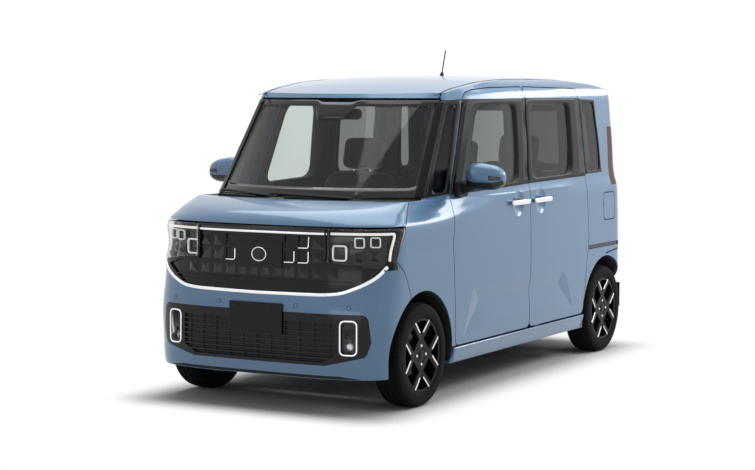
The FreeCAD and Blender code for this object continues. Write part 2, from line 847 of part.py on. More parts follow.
# Outlines seen from the left: length share, height share.
DOOR_EDGE_SHARES = (
    (-0.23358, 0.1591), (-0.24683, 0.47899), (-0.23564, 0.62745), (-0.16289, 0.92437),
    (-0.15317, 0.9423), (-0.13137, 0.95182), (-0.07364, 0.95854),
)
DOOR_SPLIT_SHARES = (
    (0.05331, 0.9619), (0.05214, 0.92213), (0.0489, 0.56022), (0.04948, 0.1591),
)
SLIDE_EDGE_SHARES = (
    (0.28513, 0.95574), (0.28807, 0.91933), (0.30162, 0.64818), (0.29985, 0.56695),
    (0.30574, 0.41849), (0.2972, 0.33782), (0.28483, 0.1591),
)
DOOR_PANE_SHARES = (
    (-0.18675, 0.63866), (-0.12489, 0.90364), (0.00589, 0.90644), (0.00177, 0.64874),
)
SLIDE_PANE_SHARES = (
    (0.06834, 0.6549), (0.06834, 0.90476), (0.23299, 0.91036), (0.23004, 0.65882),
)
QUARTER_PANE_SHARES = (
    (0.31046, 0.66106), (0.2975, 0.91092), (0.35994, 0.90868), (0.37997, 0.66275),
)
SAIL_PANE_SHARES = (
    (-0.29013, 0.63529), (-0.20324, 0.90308), (-0.18085, 0.90308), (-0.24507, 0.63417),
)
WING_SHARES = (
    (-0.20619, 0.1591), (-0.20619, 0.72829), (-0.36406, 0.72829), (-0.36406, 0.61849),
    (-0.40619, 0.55126), (-0.43063, 0.45154), (-0.41031, 0.41513), (-0.39175, 0.3535),
    (-0.36819, 0.15742),
)
BUMPER_SIDE_SHARES = (
    (-0.55965, 0.05602), (-0.29455, 0.05602), (-0.29455, 0.15742), (-0.36819, 0.15742),
    (-0.39175, 0.3535), (-0.41031, 0.41513), (-0.43063, 0.45154), (-0.40619, 0.55126),
    (-0.55965, 0.55126),
)
LAMP_SIDE_SHARES = (
    (-0.55965, 0.41457), (-0.42121, 0.41457), (-0.43063, 0.45154), (-0.40619, 0.55126),
    (-0.40619, 0.56022), (-0.55965, 0.56022),
)
SILL_SHARES = (
    (-0.26775, 0.15574), (-0.24683, 0.10756), (0.28925, 0.10756), (0.29219, 0.15574),
)
BONNET_SHARES = (
    (-0.36406, 0.72829), (-0.36406, 0.61849), (-0.40619, 0.55126), (-0.55965, 0.55126),
    (-0.55965, 0.72829),
)
QUARTER_LOW_SHARES = (
    (0.2651, 0.1591), (0.38792, 0.1591), (0.38792, 0.3619), (0.4489, 0.37311),
    (0.45773, 0.47059), (0.55965, 0.47059), (0.55965, 0.72829), (0.2651, 0.72829),
)
RAIL_SLOT_SHARES = (
    (0.29455, 0.38431), (0.29455, 0.39888), (0.48306, 0.39888), (0.48306, 0.38431),
)
REAR_BUMPER_SHARES = (
    (0.38792, 0.05602), (0.38792, 0.35854), (0.45066, 0.36975), (0.4595, 0.46723),
    (0.55965, 0.46723), (0.55965, 0.05602),
)
# Scoop along the lower doors: outline on the skin, and its deepest line.
SCOOP_EDGE_SHARES = (
    (-0.21001, 0.17423), (-0.17378, 0.33053), (0.19146, 0.32829), (0.2433, 0.17871),
    (0.14728, 0.2084), (-0.1081, 0.21513),
)
SCOOP_RIDGE_SHARES = (
    (-0.14669, 0.28908), (0.17084, 0.28515),
)
LID_CENTRE_SHARES = (
    (0.40324, 0.53109),
)
# Outlines seen from the front: width share, height share.
LAMP_FACE_SHARES = (
    (0.55458, 0.5479), (0.55458, 0.44818), (0.75932, 0.44034), (0.94915, 0.42689),
    (1.08475, 0.43137), (1.08475, 0.5479),
)
GRILLE_FACE_SHARES = (
    (-0.94915, 0.42689), (-0.75932, 0.44034), (-0.54644, 0.44818), (-0.54644, 0.5479),
    (0.54644, 0.5479), (0.54644, 0.44818), (0.75932, 0.44034), (0.94915, 0.42689),
    (0.93559, 0.42129), (0.66847, 0.35518), (0, 0.34958), (-0.66847, 0.35518),
    (-0.93559, 0.42129),
)
GRILLE_FLOOR_SHARES = (
    (-0.8678, 0.41849), (-0.74576, 0.43473), (-0.53424, 0.44258), (-0.53424, 0.54286),
    (0.53424, 0.54286), (0.53424, 0.44258), (0.74576, 0.43473), (0.8678, 0.41849),
    (0.66034, 0.36134), (0, 0.3563), (-0.66034, 0.36134),
)
GRILLE_COLUMN_SHARES = (
    0.2522, 0.3661, 0.48, 0.59661,
)
GRILLE_ROW_SHARES = (
    0.50532, 0.46162, 0.41737,
)
SMALL_COLUMN_SHARES = (
    0.05017, 0.15051,
)
SLAT_SHARES = (
    0.39104, 0.37927, 0.36807,
)
INTAKE_GRID_SHARES = (
    (-0.64814, 0.28123), (0.64814, 0.28123), (0.64814, 0.18039), (0.54237, 0.1563),
    (-0.54237, 0.1563), (-0.64814, 0.18039),
)
INTAKE_FACE_SHARES = (
    (-0.8678, 0.29972), (-0.88814, 0.21905), (-0.85831, 0.17591), (-0.56136, 0.14678),
    (0.56136, 0.14678), (0.85831, 0.17591), (0.88814, 0.21905), (0.8678, 0.29972),
)
FOG_FACE_SHARES = (
    (0.67797, 0.18207), (0.67797, 0.28011), (0.79864, 0.28011), (0.79864, 0.18207),
)
SCREEN_FACE_SHARES = (
    (-0.89085, 0.61849), (-0.79864, 0.92549), (0.79864, 0.92549), (0.89085, 0.61849),
)
TAILGATE_FACE_SHARES = (
    (-0.83797, 0.36303), (-0.8678, 0.60392), (-0.82983, 0.81961), (-0.76746, 0.95238),
    (0.76746, 0.95238), (0.82983, 0.81961), (0.8678, 0.60392), (0.83797, 0.36303),
)
REAR_PANE_SHARES = (
    (-0.75932, 0.64426), (-0.70508, 0.89636), (0.70508, 0.89636), (0.75932, 0.64426),
)
TAIL_LAMP_SHARES = (
    (0.84746, 0.60616), (0.80949, 0.81793), (1.03051, 0.81793), (1.03051, 0.60616),
)
COWL_PLAN_SHARES = (
    (-0.8678, -0.36289), (-0.54237, -0.38351), (0, -0.39234), (0.54237, -0.38351),
    (0.8678, -0.36289), (0.88814, -0.31163), (0.81356, -0.32165), (0.61017, -0.3461),
    (0.33898, -0.36613), (0, -0.37378), (-0.33898, -0.36613), (-0.61017, -0.3461),
    (-0.81356, -0.32165), (-0.88814, -0.31163),
)
BONNET_REAR_SHARES = (
    (-0.8678, -0.36465), (-0.54237, -0.38527), (0, -0.39411), (0.54237, -0.38527),
    (0.8678, -0.36465), (1.03051, -0.36465), (1.03051, -0.5891), (-1.03051, -0.5891),
    (-1.03051, -0.36465),
)
WIPER_SHARES = (
    (0.44746, -0.3782), (-0.08136, -0.38763), (-0.33898, -0.38409), (-0.75932, -0.35788),
)
# Roof opening from above: width share, length share.
ROOF_PLAN_SHARES = (
    (-0.79186, -0.32401), (-0.79186, -0.20324), (-0.81085, -0.08837), (-0.81627, 0.11782),
    (-0.81085, 0.32401), (-0.79186, 0.55965), (0.79186, 0.55965), (0.81085, 0.32401),
    (0.81627, 0.11782), (0.81085, -0.08837), (0.79186, -0.20324), (0.79186, -0.32401),
)

GAP = float(s.shut_gap)
FIT = float(s.glass_fit)
ROUND = float(s.corner_round)
PANE = float(s.pane_round)

outer_low = body_master(0, False)
outer_cab = body_master(0, True).common(crown_solid(0))


def layer(depth, cabin, start=0):
    """Skin of the body between two insets."""
    if start:
        outside = body_master(start, cabin)
        if cabin:
            outside = outside.common(crown_solid(start))
    else:
        outside = outer_cab if cabin else outer_low
    inside = body_master(depth, cabin, FAR)
    if cabin:
        inside = inside.common(crown_solid(depth))
    return outside.cut(inside)


deep_low = layer(float(s.door_depth), False)
deep_cab = layer(float(s.door_depth), True)
skin_low = layer(float(s.skin_depth), False)
skin_cab = layer(float(s.skin_depth), True)
panel_low = layer(float(s.panel_wall), False)
pane_start = float(s.glass_inset)
pane_end = float(s.glass_inset + s.glass_wall)
pane_cab = layer(pane_end, True, pane_start)


def wheel_cut(axle, extra):
    """Cylinder across the left side at an axle."""
    centre = Vector(WIDE - float(s.side_reach) / 2, float(axle), float(s.tyre_radius + s.arch_lift))
    return Part.makeCylinder(float(s.arch_radius) + extra, float(s.side_reach), centre, Vector(1, 0, 0))


front_arch = wheel_cut(FRONT_AXLE, 0)
rear_arch = wheel_cut(REAR_AXLE, 0)

door_outline = side_points(DOOR_EDGE_SHARES + DOOR_SPLIT_SHARES)
slide_outline = side_points(tuple(reversed(DOOR_SPLIT_SHARES)) + SLIDE_EDGE_SHARES)
door_pane = side_points(DOOR_PANE_SHARES)
slide_pane = side_points(SLIDE_PANE_SHARES)
quarter_pane = side_points(QUARTER_PANE_SHARES)
sail_pane = side_points(SAIL_PANE_SHARES)


def door_shell(outline, pane):
    """Stepped door: a full outer skin with a smaller inner box, window cut through."""
    full = side_prism(grown(outline, -GAP / 2), ROUND)
    small = side_prism(grown(outline, -GAP / 2 - float(s.step_inset)), ROUND)
    window = side_prism(pane, PANE)
    skins = []
    for skin, deep in ((skin_low, deep_low), (skin_cab, deep_cab)):
        outer = skin.common(full)
        inner = deep.common(small)
        skins.append(outer.fuse(inner))
    whole = skins[0].fuse(skins[1]).cut(window)
    return main_solid(whole.cut(front_arch).removeSplitter())


def upright(radius, x, y, low, high):
    """Upright cylinder between two heights."""
    return Part.makeCylinder(radius, high - low, Vector(x, y, low), Vector(0, 0, 1))


hinge_x = WIDE - float(s.skin_depth)
hinge_y = DOOR_EDGE_SHARES[1][0] * LONG + float(s.hinge_set_back)
hinge_half = float(s.hinge_leaf_height) / 2
hinge_heights = [float(s.hinge_low), float(s.hinge_high)]
pin_radius = float(s.hinge_pin_radius)
leaf_half = float(s.hinge_leaf_wall) / 2
notch_half = hinge_half + float(s.hinge_room)


def hinged(door):
    """Door with a notch and an upright pin at each hinge."""
    for height in hinge_heights:
        low = height - notch_half
        high = height + notch_half
        notch = Part.makeBox(hinge_x - float(s.panel_reach), float(s.hinge_notch), high - low,
                             Vector(float(s.panel_reach), hinge_y + float(s.hinge_room) - float(s.hinge_notch), low))
        door = door.cut(notch)
        door = door.fuse(upright(pin_radius, hinge_x, hinge_y, low - FIT, high + FIT))
    return main_solid(door)


def pane_solid(pane):
    """Glass pane seated in its window."""
    return main_solid(pane_cab.common(side_prism(grown(pane, -FIT), PANE)))


def faceted(low, high, edge, faces):
    """Solid between two sets of corners: triangles on both ends, quads round the edge.

    Args:
        low: corners of the inner end.
        high: the same corners moved outwards.
        edge: indices round the boundary.
        faces: triangles as index triples.

    Returns:
        The solid.
    """
    outlines = [[low[number] for number in face] for face in faces]
    outlines += [[high[number] for number in face] for face in faces]
    for number, start in enumerate(edge):
        end = edge[(number + 1) % len(edge)]
        outlines.append([low[start], low[end], high[end], high[start]])
    walls = [Part.Face(Part.makePolygon(outline + outline[:1])) for outline in outlines]
    solid = Part.Solid(Part.Shell(walls))
    if solid.Volume < 0:
        solid.reverse()
    return solid


# The scoop is a folded sheet through its edge and its deepest line.
scoop_edge = side_points(SCOOP_EDGE_SHARES)
scoop_ridge = side_points(SCOOP_RIDGE_SHARES)
scoop_low = [Vector(side_half(y, z) + float(s.sculpt_proud), y, z) for y, z in scoop_edge]
scoop_low += [Vector(side_half(y, z) - float(s.sculpt_depth), y, z) for y, z in scoop_ridge]
scoop_high = [corner + Vector(FAR, 0, 0) for corner in scoop_low]
SCOOP_FOLDS = ((0, 6, 1), (1, 6, 2), (2, 6, 7), (2, 7, 3), (3, 7, 4), (4, 7, 6), (4, 6, 5), (5, 6, 0))
scoop = faceted(scoop_low, scoop_high, (0, 1, 2, 3, 4, 5), SCOOP_FOLDS)


def with_handle(door, middle):
    """Door with a finger dish and a pull handle that stands on two feet."""
    height = float(s.handle_line)
    skin = side_half(middle, height)
    half = float(s.cup_half)
    deep = float(s.cup_depth)
    ball = (half ** 2 + deep ** 2) / (2 * deep)
    door = door.cut(Part.makeSphere(ball, Vector(skin + ball - deep, middle, height)))
    length = float(s.handle_length)
    tall = float(s.handle_height)
    bar_start = skin + float(s.handle_gap)
    bar = Part.makeBox(float(s.handle_depth), length, tall, Vector(bar_start, middle - length / 2, height - tall / 2))
    bar = bar.makeFillet(float(s.handle_round), bar.Edges)
    foot = float(s.handle_foot)
    sunk = float(s.handle_gap) + float(s.handle_round)
    for start in (middle - length / 2 + sunk / 2, middle + length / 2 - sunk / 2 - foot):
        bar = bar.fuse(Part.makeBox(sunk + float(s.handle_depth) / 2, foot, tall / 2,
                                    Vector(skin - float(s.handle_round), start, height - tall / 4)))
    return main_solid(door.fuse(bar))


front_door = hinged(door_shell(door_outline, door_pane)).cut(scoop)
front_door = with_handle(main_solid(front_door), float(s.front_handle_back))
keep("front_door_left", front_door)
keep("front_door_right", right_of(front_door))
slide_door = main_solid(door_shell(slide_outline, slide_pane).cut(scoop))
slide_door = with_handle(slide_door, float(s.slide_handle_back))
roller = Part.makeBox(float(s.roller_width), float(s.roller_length), float(s.roller_height),
                      Vector(WIDE - float(s.door_depth), float(s.roller_back), SILL_SHARES[0][1] * TALL))
slide_door = main_solid(slide_door.fuse(roller))
keep("sliding_doors", both(slide_door))
front_glass = pane_solid(door_pane)
keep("front_door_glass_left", front_glass)
keep("front_door_glass_right", right_of(front_glass))
fixed_panes = [pane_solid(pane) for pane in (slide_pane, quarter_pane, sail_pane)]
fixed_left = Part.makeCompound(fixed_panes)
keep("side_glass", both(fixed_left))

# Openings shared by the panels round them.
door_hole = side_prism(grown(door_outline, GAP / 2), ROUND)
slide_hole = side_prism(grown(slide_outline, GAP / 2), ROUND)
nose = -LONG / 2 - FAR * 2
tail = LONG / 2 + FAR * 2
screen_pairs = face_points(SCREEN_FACE_SHARES)
screen_foot = float(s.cowl_height + s.seat_fit) + FIT
screen_pairs = [(x, max(z, screen_foot)) for x, z in screen_pairs]
screen_hole = face_prism([(x, z) for x, z in screen_pairs], PANE, nose, nose * 0.3)
low_edge = float(s.cowl_height) - FAR
screen_low = [(screen_pairs[0][0], low_edge)] + screen_pairs + [(screen_pairs[-1][0], low_edge)]
screen_slot = face_prism(screen_low, 0, nose, nose * 0.3)
gate_pairs = face_points(TAILGATE_FACE_SHARES)
gate_hole = face_prism(grown(gate_pairs, GAP / 2), ROUND, tail * 0.8, tail)
gate_solid = face_prism(grown(gate_pairs, -GAP / 2), ROUND, tail * 0.8, tail)
rear_pane_hole = face_prism(face_points(REAR_PANE_SHARES), PANE, tail * 0.8, tail)
roof_pairs = [(x * WIDE, y * LONG) for x, y in ROOF_PLAN_SHARES]
roof_low = TALL * 0.86
roof_hole = plan_prism(roof_pairs, 0, roof_low, TALL + FAR)
roof_solid = plan_prism(grown(roof_pairs, -float(s.ditch_gap)), 0, roof_low, TALL + FAR)
lamp_pairs = face_points(TAIL_LAMP_SHARES)
tail_lamp_hole = face_prism(grown(lamp_pairs, float(s.seat_fit)), 0, tail * 0.8, tail)
tail_lamp_solid = face_prism(lamp_pairs, 0, tail * 0.8, tail).cut(gate_hole)
quarter_hole = side_prism(quarter_pane, PANE)
sail_hole = side_prism(sail_pane, PANE)
lid_y = LID_CENTRE_SHARES[0][0] * LONG
lid_z = LID_CENTRE_SHARES[0][1] * TALL
reach = float(s.lid_reach)
lid_pairs = [(lid_y - reach, lid_z - reach), (lid_y + reach, lid_z - reach),
             (lid_y + reach, lid_z + reach), (lid_y - reach, lid_z + reach)]
lid_deep = WIDE - float(s.filler_depth)
lid_hole = side_prism(grown(lid_pairs, GAP), float(s.lid_round), low=lid_deep)
rail_slot = side_prism(side_points(RAIL_SLOT_SHARES), 0, low=WIDE - float(s.slot_depth))

# Body side with the roof rail, pillars and rear quarter.
quarter_low = deep_low.common(side_prism(side_points(QUARTER_LOW_SHARES), 0))
quarter_low = quarter_low.cut(rear_arch).cut(slide_hole).cut(gate_hole).cut(tail_lamp_hole)
quarter_low = quarter_low.cut(rail_slot)
left_half = Part.makeBox(WIDE + FAR, LONG + FAR * 4, TALL, Vector(0, nose, 0))
cab_side = deep_cab.common(left_half)
for hole in (roof_hole, screen_slot, gate_hole, tail_lamp_hole, door_hole, slide_hole,
             quarter_hole, sail_hole):
    cab_side = cab_side.cut(hole)
body_side = joined(main_solid(quarter_low), main_solid(cab_side))
def across(radius, x_low, x_high, y, z):
    """Cylinder along the X axis between two widths."""
    return Part.makeCylinder(radius, x_high - x_low, Vector(x_low, y, z), Vector(1, 0, 0))


barrel = float(s.barrel_radius)
barrel_length = float(s.barrel_length)
web = barrel * 0.8
lid_pin_y = lid_y - reach - GAP / 2
lid_pin_x = side_half(lid_pin_y, lid_z)
lid_pin = upright(barrel, lid_pin_x, lid_pin_y, lid_z - barrel_length / 2, lid_z + barrel_length / 2)
lid_web = Part.makeBox(web, GAP, barrel_length, Vector(lid_pin_x - web, lid_pin_y - GAP, lid_z - barrel_length / 2))
body_side = main_solid(body_side.cut(lid_hole).fuse(lid_pin).fuse(lid_web))
sill = outer_low.common(
    side_prism(grown(side_points(SILL_SHARES), -float(s.seat_fit)), 0, low=float(s.floor_half + s.seat_fit)))
sill = main_solid(sill.cut(front_arch).cut(rear_arch))
keep("body_sides", both(Part.makeCompound([body_side, sill])))
lid_shell = layer(float(s.lid_wall), False).common(side_prism(lid_pairs, float(s.lid_round)))
keep("fuel_lid", main_solid(lid_shell))

roof_skin = layer(float(s.roof_wall), True).common(roof_solid)
roof_skin = main_solid(roof_skin.cut(screen_slot).cut(gate_hole))
gate_pin_z = gate_pairs[3][1]
gate_pin_y = table(TAIL_SHARES, gate_pin_z / TALL) * LONG
for side in (1, -1):
    pin_low_x = side * float(s.gate_hinge_side) - barrel_length / 2
    roof_skin = roof_skin.fuse(across(barrel, pin_low_x, pin_low_x + barrel_length, gate_pin_y, gate_pin_z))
    roof_skin = roof_skin.fuse(Part.makeBox(barrel_length, web * 2, GAP * 1.5,
                                            Vector(pin_low_x, gate_pin_y - web * 2, gate_pin_z)))
keep("roof_panel", main_solid(roof_skin))
screen = pane_cab.common(face_prism(grown(screen_pairs, -FIT), PANE, nose, nose * 0.3))
keep("windscreen", main_solid(screen))

gate_low = deep_low.common(gate_solid)
gate_cab = deep_cab.common(gate_solid)
tailgate = joined(main_solid(gate_low), main_solid(gate_cab)).cut(rear_pane_hole)
keep("tailgate", main_solid(tailgate))
rear_pane = pane_cab.common(
    face_prism(grown(face_points(REAR_PANE_SHARES), -FIT), PANE, tail * 0.8, tail))
keep("tailgate_glass", main_solid(rear_pane))

lamp_skin_low = layer(float(s.lamp_depth), False)
tail_lamp_low = lamp_skin_low.common(tail_lamp_solid)
tail_lamp_cab = deep_cab.common(tail_lamp_solid)
tail_lamp = joined(main_solid(tail_lamp_low.common(left_half)), main_solid(tail_lamp_cab.common(left_half)))
keep("tail_lamps", both(tail_lamp))

# Nose panels.
all_low = -WIDE - FAR * 2
wing = panel_low.common(side_prism(grown(side_points(WING_SHARES), -GAP / 2), 0, low=WIDE * 0.7))
wing = main_solid(wing.cut(front_arch).cut(door_hole))
bonnet_pin_z = float(s.cowl_height) - barrel - FIT
(rear_y, rear_z), (wing_y, wing_z) = side_points(BONNET_SHARES)[1:3]
bonnet_pin_y = rear_y + (bonnet_pin_z - rear_z) * (wing_y - rear_y) / (wing_z - rear_z)
pin_end = side_half(bonnet_pin_y, bonnet_pin_z) - barrel
pin_start = pin_end - barrel_length / 2
wing = wing.fuse(across(barrel, pin_start, pin_end, bonnet_pin_y, bonnet_pin_z))
wing_web = Part.makeBox(barrel_length / 6, GAP * 1.5, web, Vector(pin_end - barrel_length / 6, bonnet_pin_y, bonnet_pin_z - web))
wing = main_solid(wing.fuse(wing_web))
keep("wings", both(wing))
bonnet = panel_low.common(side_prism(grown(side_points(BONNET_SHARES), -GAP / 2), 0, low=all_low))
bonnet_plan = [(x * WIDE, y * LONG) for x, y in BONNET_REAR_SHARES]
bonnet_top = body_master(0, False).cut(body_master(float(s.panel_wall), False, -float(s.panel_wall)))
bonnet = bonnet_top.common(side_prism(grown(side_points(BONNET_SHARES), -GAP / 2), 0, low=all_low))
bonnet = bonnet.common(plan_prism(bonnet_plan, 0, low_edge - TALL * 0.1, TALL))
keep("bonnet", main_solid(bonnet))
lamp_face = face_points(LAMP_FACE_SHARES)
lamp_side = side_points(LAMP_SIDE_SHARES)
lamp_hole = face_prism(grown(lamp_face, GAP / 2), 0, nose, nose * 0.7).common(
    side_prism(grown(lamp_side, GAP / 2), 0, low=0))
lamp_block = face_prism(grown(lamp_face, -float(s.seat_fit)), 0, nose, nose * 0.7).common(
    side_prism(grown(lamp_side, -GAP / 2), 0, low=0))
head_lamp = main_solid(lamp_skin_low.common(lamp_block))
grille_face = face_points(GRILLE_FACE_SHARES)
grille_hole = face_prism(grown(grille_face, float(s.seat_fit)), 0, nose, nose * 0.7)
grille_block = face_prism(grille_face, 0, nose, nose * 0.7)
grille_skin = layer(float(s.grille_wall), False)
grille = main_solid(grille_skin.common(grille_block))
recess_skin = layer(float(s.mould_recess), False)


def nose_face(x, z, inset):
    """Station of the nose at a width and a height, at an inset from the skin."""
    share = z / TALL
    start = table(NOSE_START_SHARES, share) * LONG
    middle = table(NOSE_SHARES, share) * LONG + inset
    fullness = table(NOSE_SHARES, share, 2)
    half = side_half(start, z) - inset
    along = (1 - min(abs(x) / half, 1) ** fullness) ** (1 / fullness)
    return start + (middle - start) * along


def square_on_nose(x, z, half, inset):
    """Square wire about a point, tangent to the nose at an inset."""
    turn = (nose_face(x + half, z, inset) - nose_face(x - half, z, inset)) / (2 * half)
    rise = (nose_face(x, z + half, inset) - nose_face(x, z - half, inset)) / (2 * half)
    centre = Vector(x, nose_face(x, z, inset), z)
    ends = []
    for across, up in ((-1, -1), (1, -1), (1, 1), (-1, 1)):
        ends.append(centre + Vector(across * half, (across * turn + up * rise) * half, up * half))
    return Part.makePolygon(ends + ends[:1])


def frustum(x, z, foot_half, foot_inset, tip_half, tip_inset):
    """Straight-sided block between two squares on the nose."""
    foot = square_on_nose(x, z, foot_half, foot_inset)
    tip = square_on_nose(x, z, tip_half, tip_inset)
    return Part.makeLoft([foot, tip], True, True)


floor_inset = float(s.mould_recess)
floor_prism = face_prism(face_points(GRILLE_FLOOR_SHARES), 0, nose, nose * 0.7)
slat_boxes = []
for share in SLAT_SHARES:
    slat_low = share * TALL - float(s.slat_height) / 2
    slat_boxes.append(Part.makeBox(WIDE * 2, LONG, float(s.slat_height), Vector(-WIDE, nose, slat_low)))
grille_floor = recess_skin.common(floor_prism).cut(Part.makeCompound(slat_boxes))
columns = [share * WIDE for share in GRILLE_COLUMN_SHARES]
rows = [share * TALL for share in GRILLE_ROW_SHARES]
# Cells as side, row, column: pyramids stand on the floor, pockets go behind it.
FACET_CELLS = ((-1, 0, 2), (-1, 0, 1), (-1, 1, 2), (-1, 1, 1), (1, 0, 2), (1, 1, 2),
               (-1, 2, 0), (-1, 2, 1), (-1, 2, 2), (-1, 2, 3), (1, 2, 0), (1, 2, 1), (1, 2, 2), (1, 2, 3))
POCKET_CELLS = ((-1, 0, 0), (-1, 1, 0), (1, 0, 0), (1, 0, 1), (1, 1, 0), (1, 1, 1))
foot_inset = floor_inset + float(s.facet_sink)
foot_half = float(s.facet_side) / 2
tip_half = float(s.facet_tip) / 2
facets = []
for side, row, column in FACET_CELLS:
    facets.append(frustum(side * columns[column], rows[row], foot_half, foot_inset, tip_half, float(s.facet_drop)))
small_half = (columns[0] - SMALL_COLUMN_SHARES[1] * WIDE) / 2
small_row = rows[2] - foot_half + small_half
for share in SMALL_COLUMN_SHARES:
    for side in (1, -1):
        facets.append(frustum(side * share * WIDE, small_row, small_half, foot_inset, tip_half, floor_inset / 2))
pockets = []
pocket_half = float(s.pocket_side) / 2
for side, row, column in POCKET_CELLS:
    pockets.append(frustum(side * columns[column], rows[row], pocket_half, 0, pocket_half, floor_inset + float(s.pocket_depth)))
panel_z = float(s.panel_height)
centre_panel = face_prism([(across * float(s.panel_half), panel_z + up * float(s.panel_half_height))
                           for across, up in ((-1, -1), (1, -1), (1, 1), (-1, 1))], 0, nose, nose * 0.7)
panel_skin = grille_skin.common(centre_panel).cut(layer(floor_inset / 2, False))
grille = grille.cut(grille_floor)
grille = grille.multiFuse(facets + [panel_skin]).cut(Part.makeCompound(pockets))
grille = main_solid(grille.removeSplitter())
intake_face = face_points(INTAKE_FACE_SHARES)
intake_hole = face_prism(intake_face, ROUND, nose, nose * 0.7)
intake = layer(float(s.intake_depth), False).common(
    face_prism(grown(intake_face, -float(s.seat_fit)), ROUND, nose, nose * 0.7))
fog_pairs = face_points(FOG_FACE_SHARES)
fog_hole = face_prism(fog_pairs, ROUND * 0.8, nose, nose * 0.7)
fog_lamp = layer(float(s.fog_depth), False).common(
    face_prism(grown(fog_pairs, -float(s.seat_fit)), ROUND * 0.8, nose, nose * 0.7))
fog_floor = recess_skin.common(face_prism(grown(fog_pairs, -float(s.fog_rim)), ROUND * 0.5, nose, nose * 0.7))
fog_x = (fog_pairs[0][0] + fog_pairs[2][0]) / 2
fog_z = float(s.fog_lens_height)
fog_lens = Part.makeCylinder(float(s.fog_lens_radius), floor_inset, Vector(fog_x, nose_face(fog_x, fog_z, floor_inset / 2), fog_z),
                             Vector(0, 1, 0))
fog_lamp = main_solid(fog_lamp).cut(fog_floor).fuse(fog_lens)
grid_pairs = face_points(INTAKE_GRID_SHARES)
slot_tall = float(s.slot_height)
rib = float(s.slot_rib)
grid_low = grid_pairs[3][1]
grid_top = grid_pairs[0][1]
grid_side = grid_pairs[1][0]
slot_count = int((grid_top - grid_low + rib) / (slot_tall + rib))
plate_left = float(s.plate_width) / 2 + rib
slots = []
for row in range(slot_count):
    slot_low = grid_low + row * (slot_tall + rib)
    spans = [(-grid_side, grid_side)]
    if slot_low + slot_tall > float(s.plate_base):
        spans = [(-grid_side, -plate_left), (plate_left, grid_side)]
    for slot_start, slot_end in spans:
        slots.append(Part.makeBox(slot_end - slot_start, LONG, slot_tall, Vector(slot_start, nose, slot_low)))
grid_prism = face_prism(grid_pairs, 0, nose, nose * 0.7)
slot_room = recess_skin.common(grid_prism.common(Part.makeCompound(slots)))
intake = intake.cut(slot_room)
intake = main_solid(intake.cut(fog_hole).cut(fog_hole.mirror(Vector(0, 0, 0), Vector(1, 0, 0))))
keep("grilles", Part.makeCompound([grille, intake]))
keep("front_lamps", both(Part.makeCompound([head_lamp, main_solid(fog_lamp)])))
bumper = panel_low.common(side_prism(grown(side_points(BUMPER_SIDE_SHARES), -GAP / 2), 0, low=all_low))
mirror_plane = (Vector(0, 0, 0), Vector(1, 0, 0))
for hole in (lamp_hole, lamp_hole.mirror(*mirror_plane), grille_hole, intake_hole,
             front_arch, front_arch.mirror(*mirror_plane)):
    bumper = bumper.cut(hole)
keep("front_bumper", main_solid(bumper))
cowl_plan = [(x * WIDE, y * LONG) for x, y in COWL_PLAN_SHARES]
cowl_low = float(s.cowl_height - s.cowl_wall)
cowl = plan_prism(cowl_plan, 0, cowl_low, float(s.cowl_height))
rear_bumper = panel_low.common(
    side_prism(grown(side_points(REAR_BUMPER_SHARES), -GAP / 2), 0, low=all_low))
for hole in (gate_hole, rear_arch, rear_arch.mirror(*mirror_plane)):
    rear_bumper = rear_bumper.cut(hole)
keep("rear_bumper", main_solid(rear_bumper))

# Wheels and tyres, turned about the X axis, outer face towards +X.
rim_half = s.rim_width / 2
flange_half = rim_half + s.wheel_fit + s.rim_wall
rim_inner = s.rim_radius - s.rim_wall
rim_edge = s.rim_radius + s.rim_flange
tyre_half = s.tyre_width / 2
crown_half = tyre_half - s.tyre_shoulder * 2
side_middle = (s.rim_radius + s.tyre_radius) / 2
tyre_profile = (
    (-rim_half, s.rim_radius + s.wheel_fit),
    (rim_half, s.rim_radius + s.wheel_fit),
    (rim_half, rim_edge + s.wheel_fit),
    (tyre_half, side_middle),
    (tyre_half - s.tyre_shoulder / 2, s.tyre_radius - s.tyre_shoulder),
    (crown_half, s.tyre_radius),
    (-crown_half, s.tyre_radius),
    (-tyre_half + s.tyre_shoulder / 2, s.tyre_radius - s.tyre_shoulder),
    (-tyre_half, side_middle),
    (-rim_half, rim_edge + s.wheel_fit),
)
barrel_profile = (
    (-flange_half, rim_inner),
    (flange_half, rim_inner),
    (flange_half, rim_edge),
    (flange_half - s.rim_wall, rim_edge),
    (flange_half - s.rim_wall, s.rim_radius),
    (-flange_half + s.rim_wall, s.rim_radius),
    (-flange_half + s.rim_wall, rim_edge),
    (-flange_half, rim_edge),
)
tyre_body = revolved_body("tyre_master", "XZ_Plane", tyre_profile, "H_Axis")
wheel_body = revolved_body("wheel_master", "XZ_Plane", barrel_profile, "H_Axis")
HALF_TURN_SHARE = math.sqrt(0.5)
bar_in = s.spoke_offset - s.spoke_width / 2
bar_out = s.spoke_offset + s.spoke_width / 2
bar_reach = ((s.rim_radius - s.rim_wall / 2) * (s.rim_radius - s.rim_wall / 2) - bar_out * bar_out).root()
bar_corners = (
    ((bar_reach + bar_in) * HALF_TURN_SHARE, (bar_reach - bar_in) * HALF_TURN_SHARE),
    ((bar_reach + bar_out) * HALF_TURN_SHARE, (bar_reach - bar_out) * HALF_TURN_SHARE),
    ((bar_out - bar_reach) * HALF_TURN_SHARE, (-bar_reach - bar_out) * HALF_TURN_SHARE),
    ((bar_in - bar_reach) * HALF_TURN_SHARE, (-bar_reach - bar_in) * HALF_TURN_SHARE),
)
bar_sketch = outline_sketch(wheel_body, "bar_outline", "YZ_Plane", bar_corners)
bar_sketch.setExpression("AttachmentOffset.Base.z", (s.spoke_plane - s.spoke_depth).text)
bar_pad = wheel_body.newObject("PartDesign::Pad", "bar_pad")
bar_pad.Profile = bar_sketch
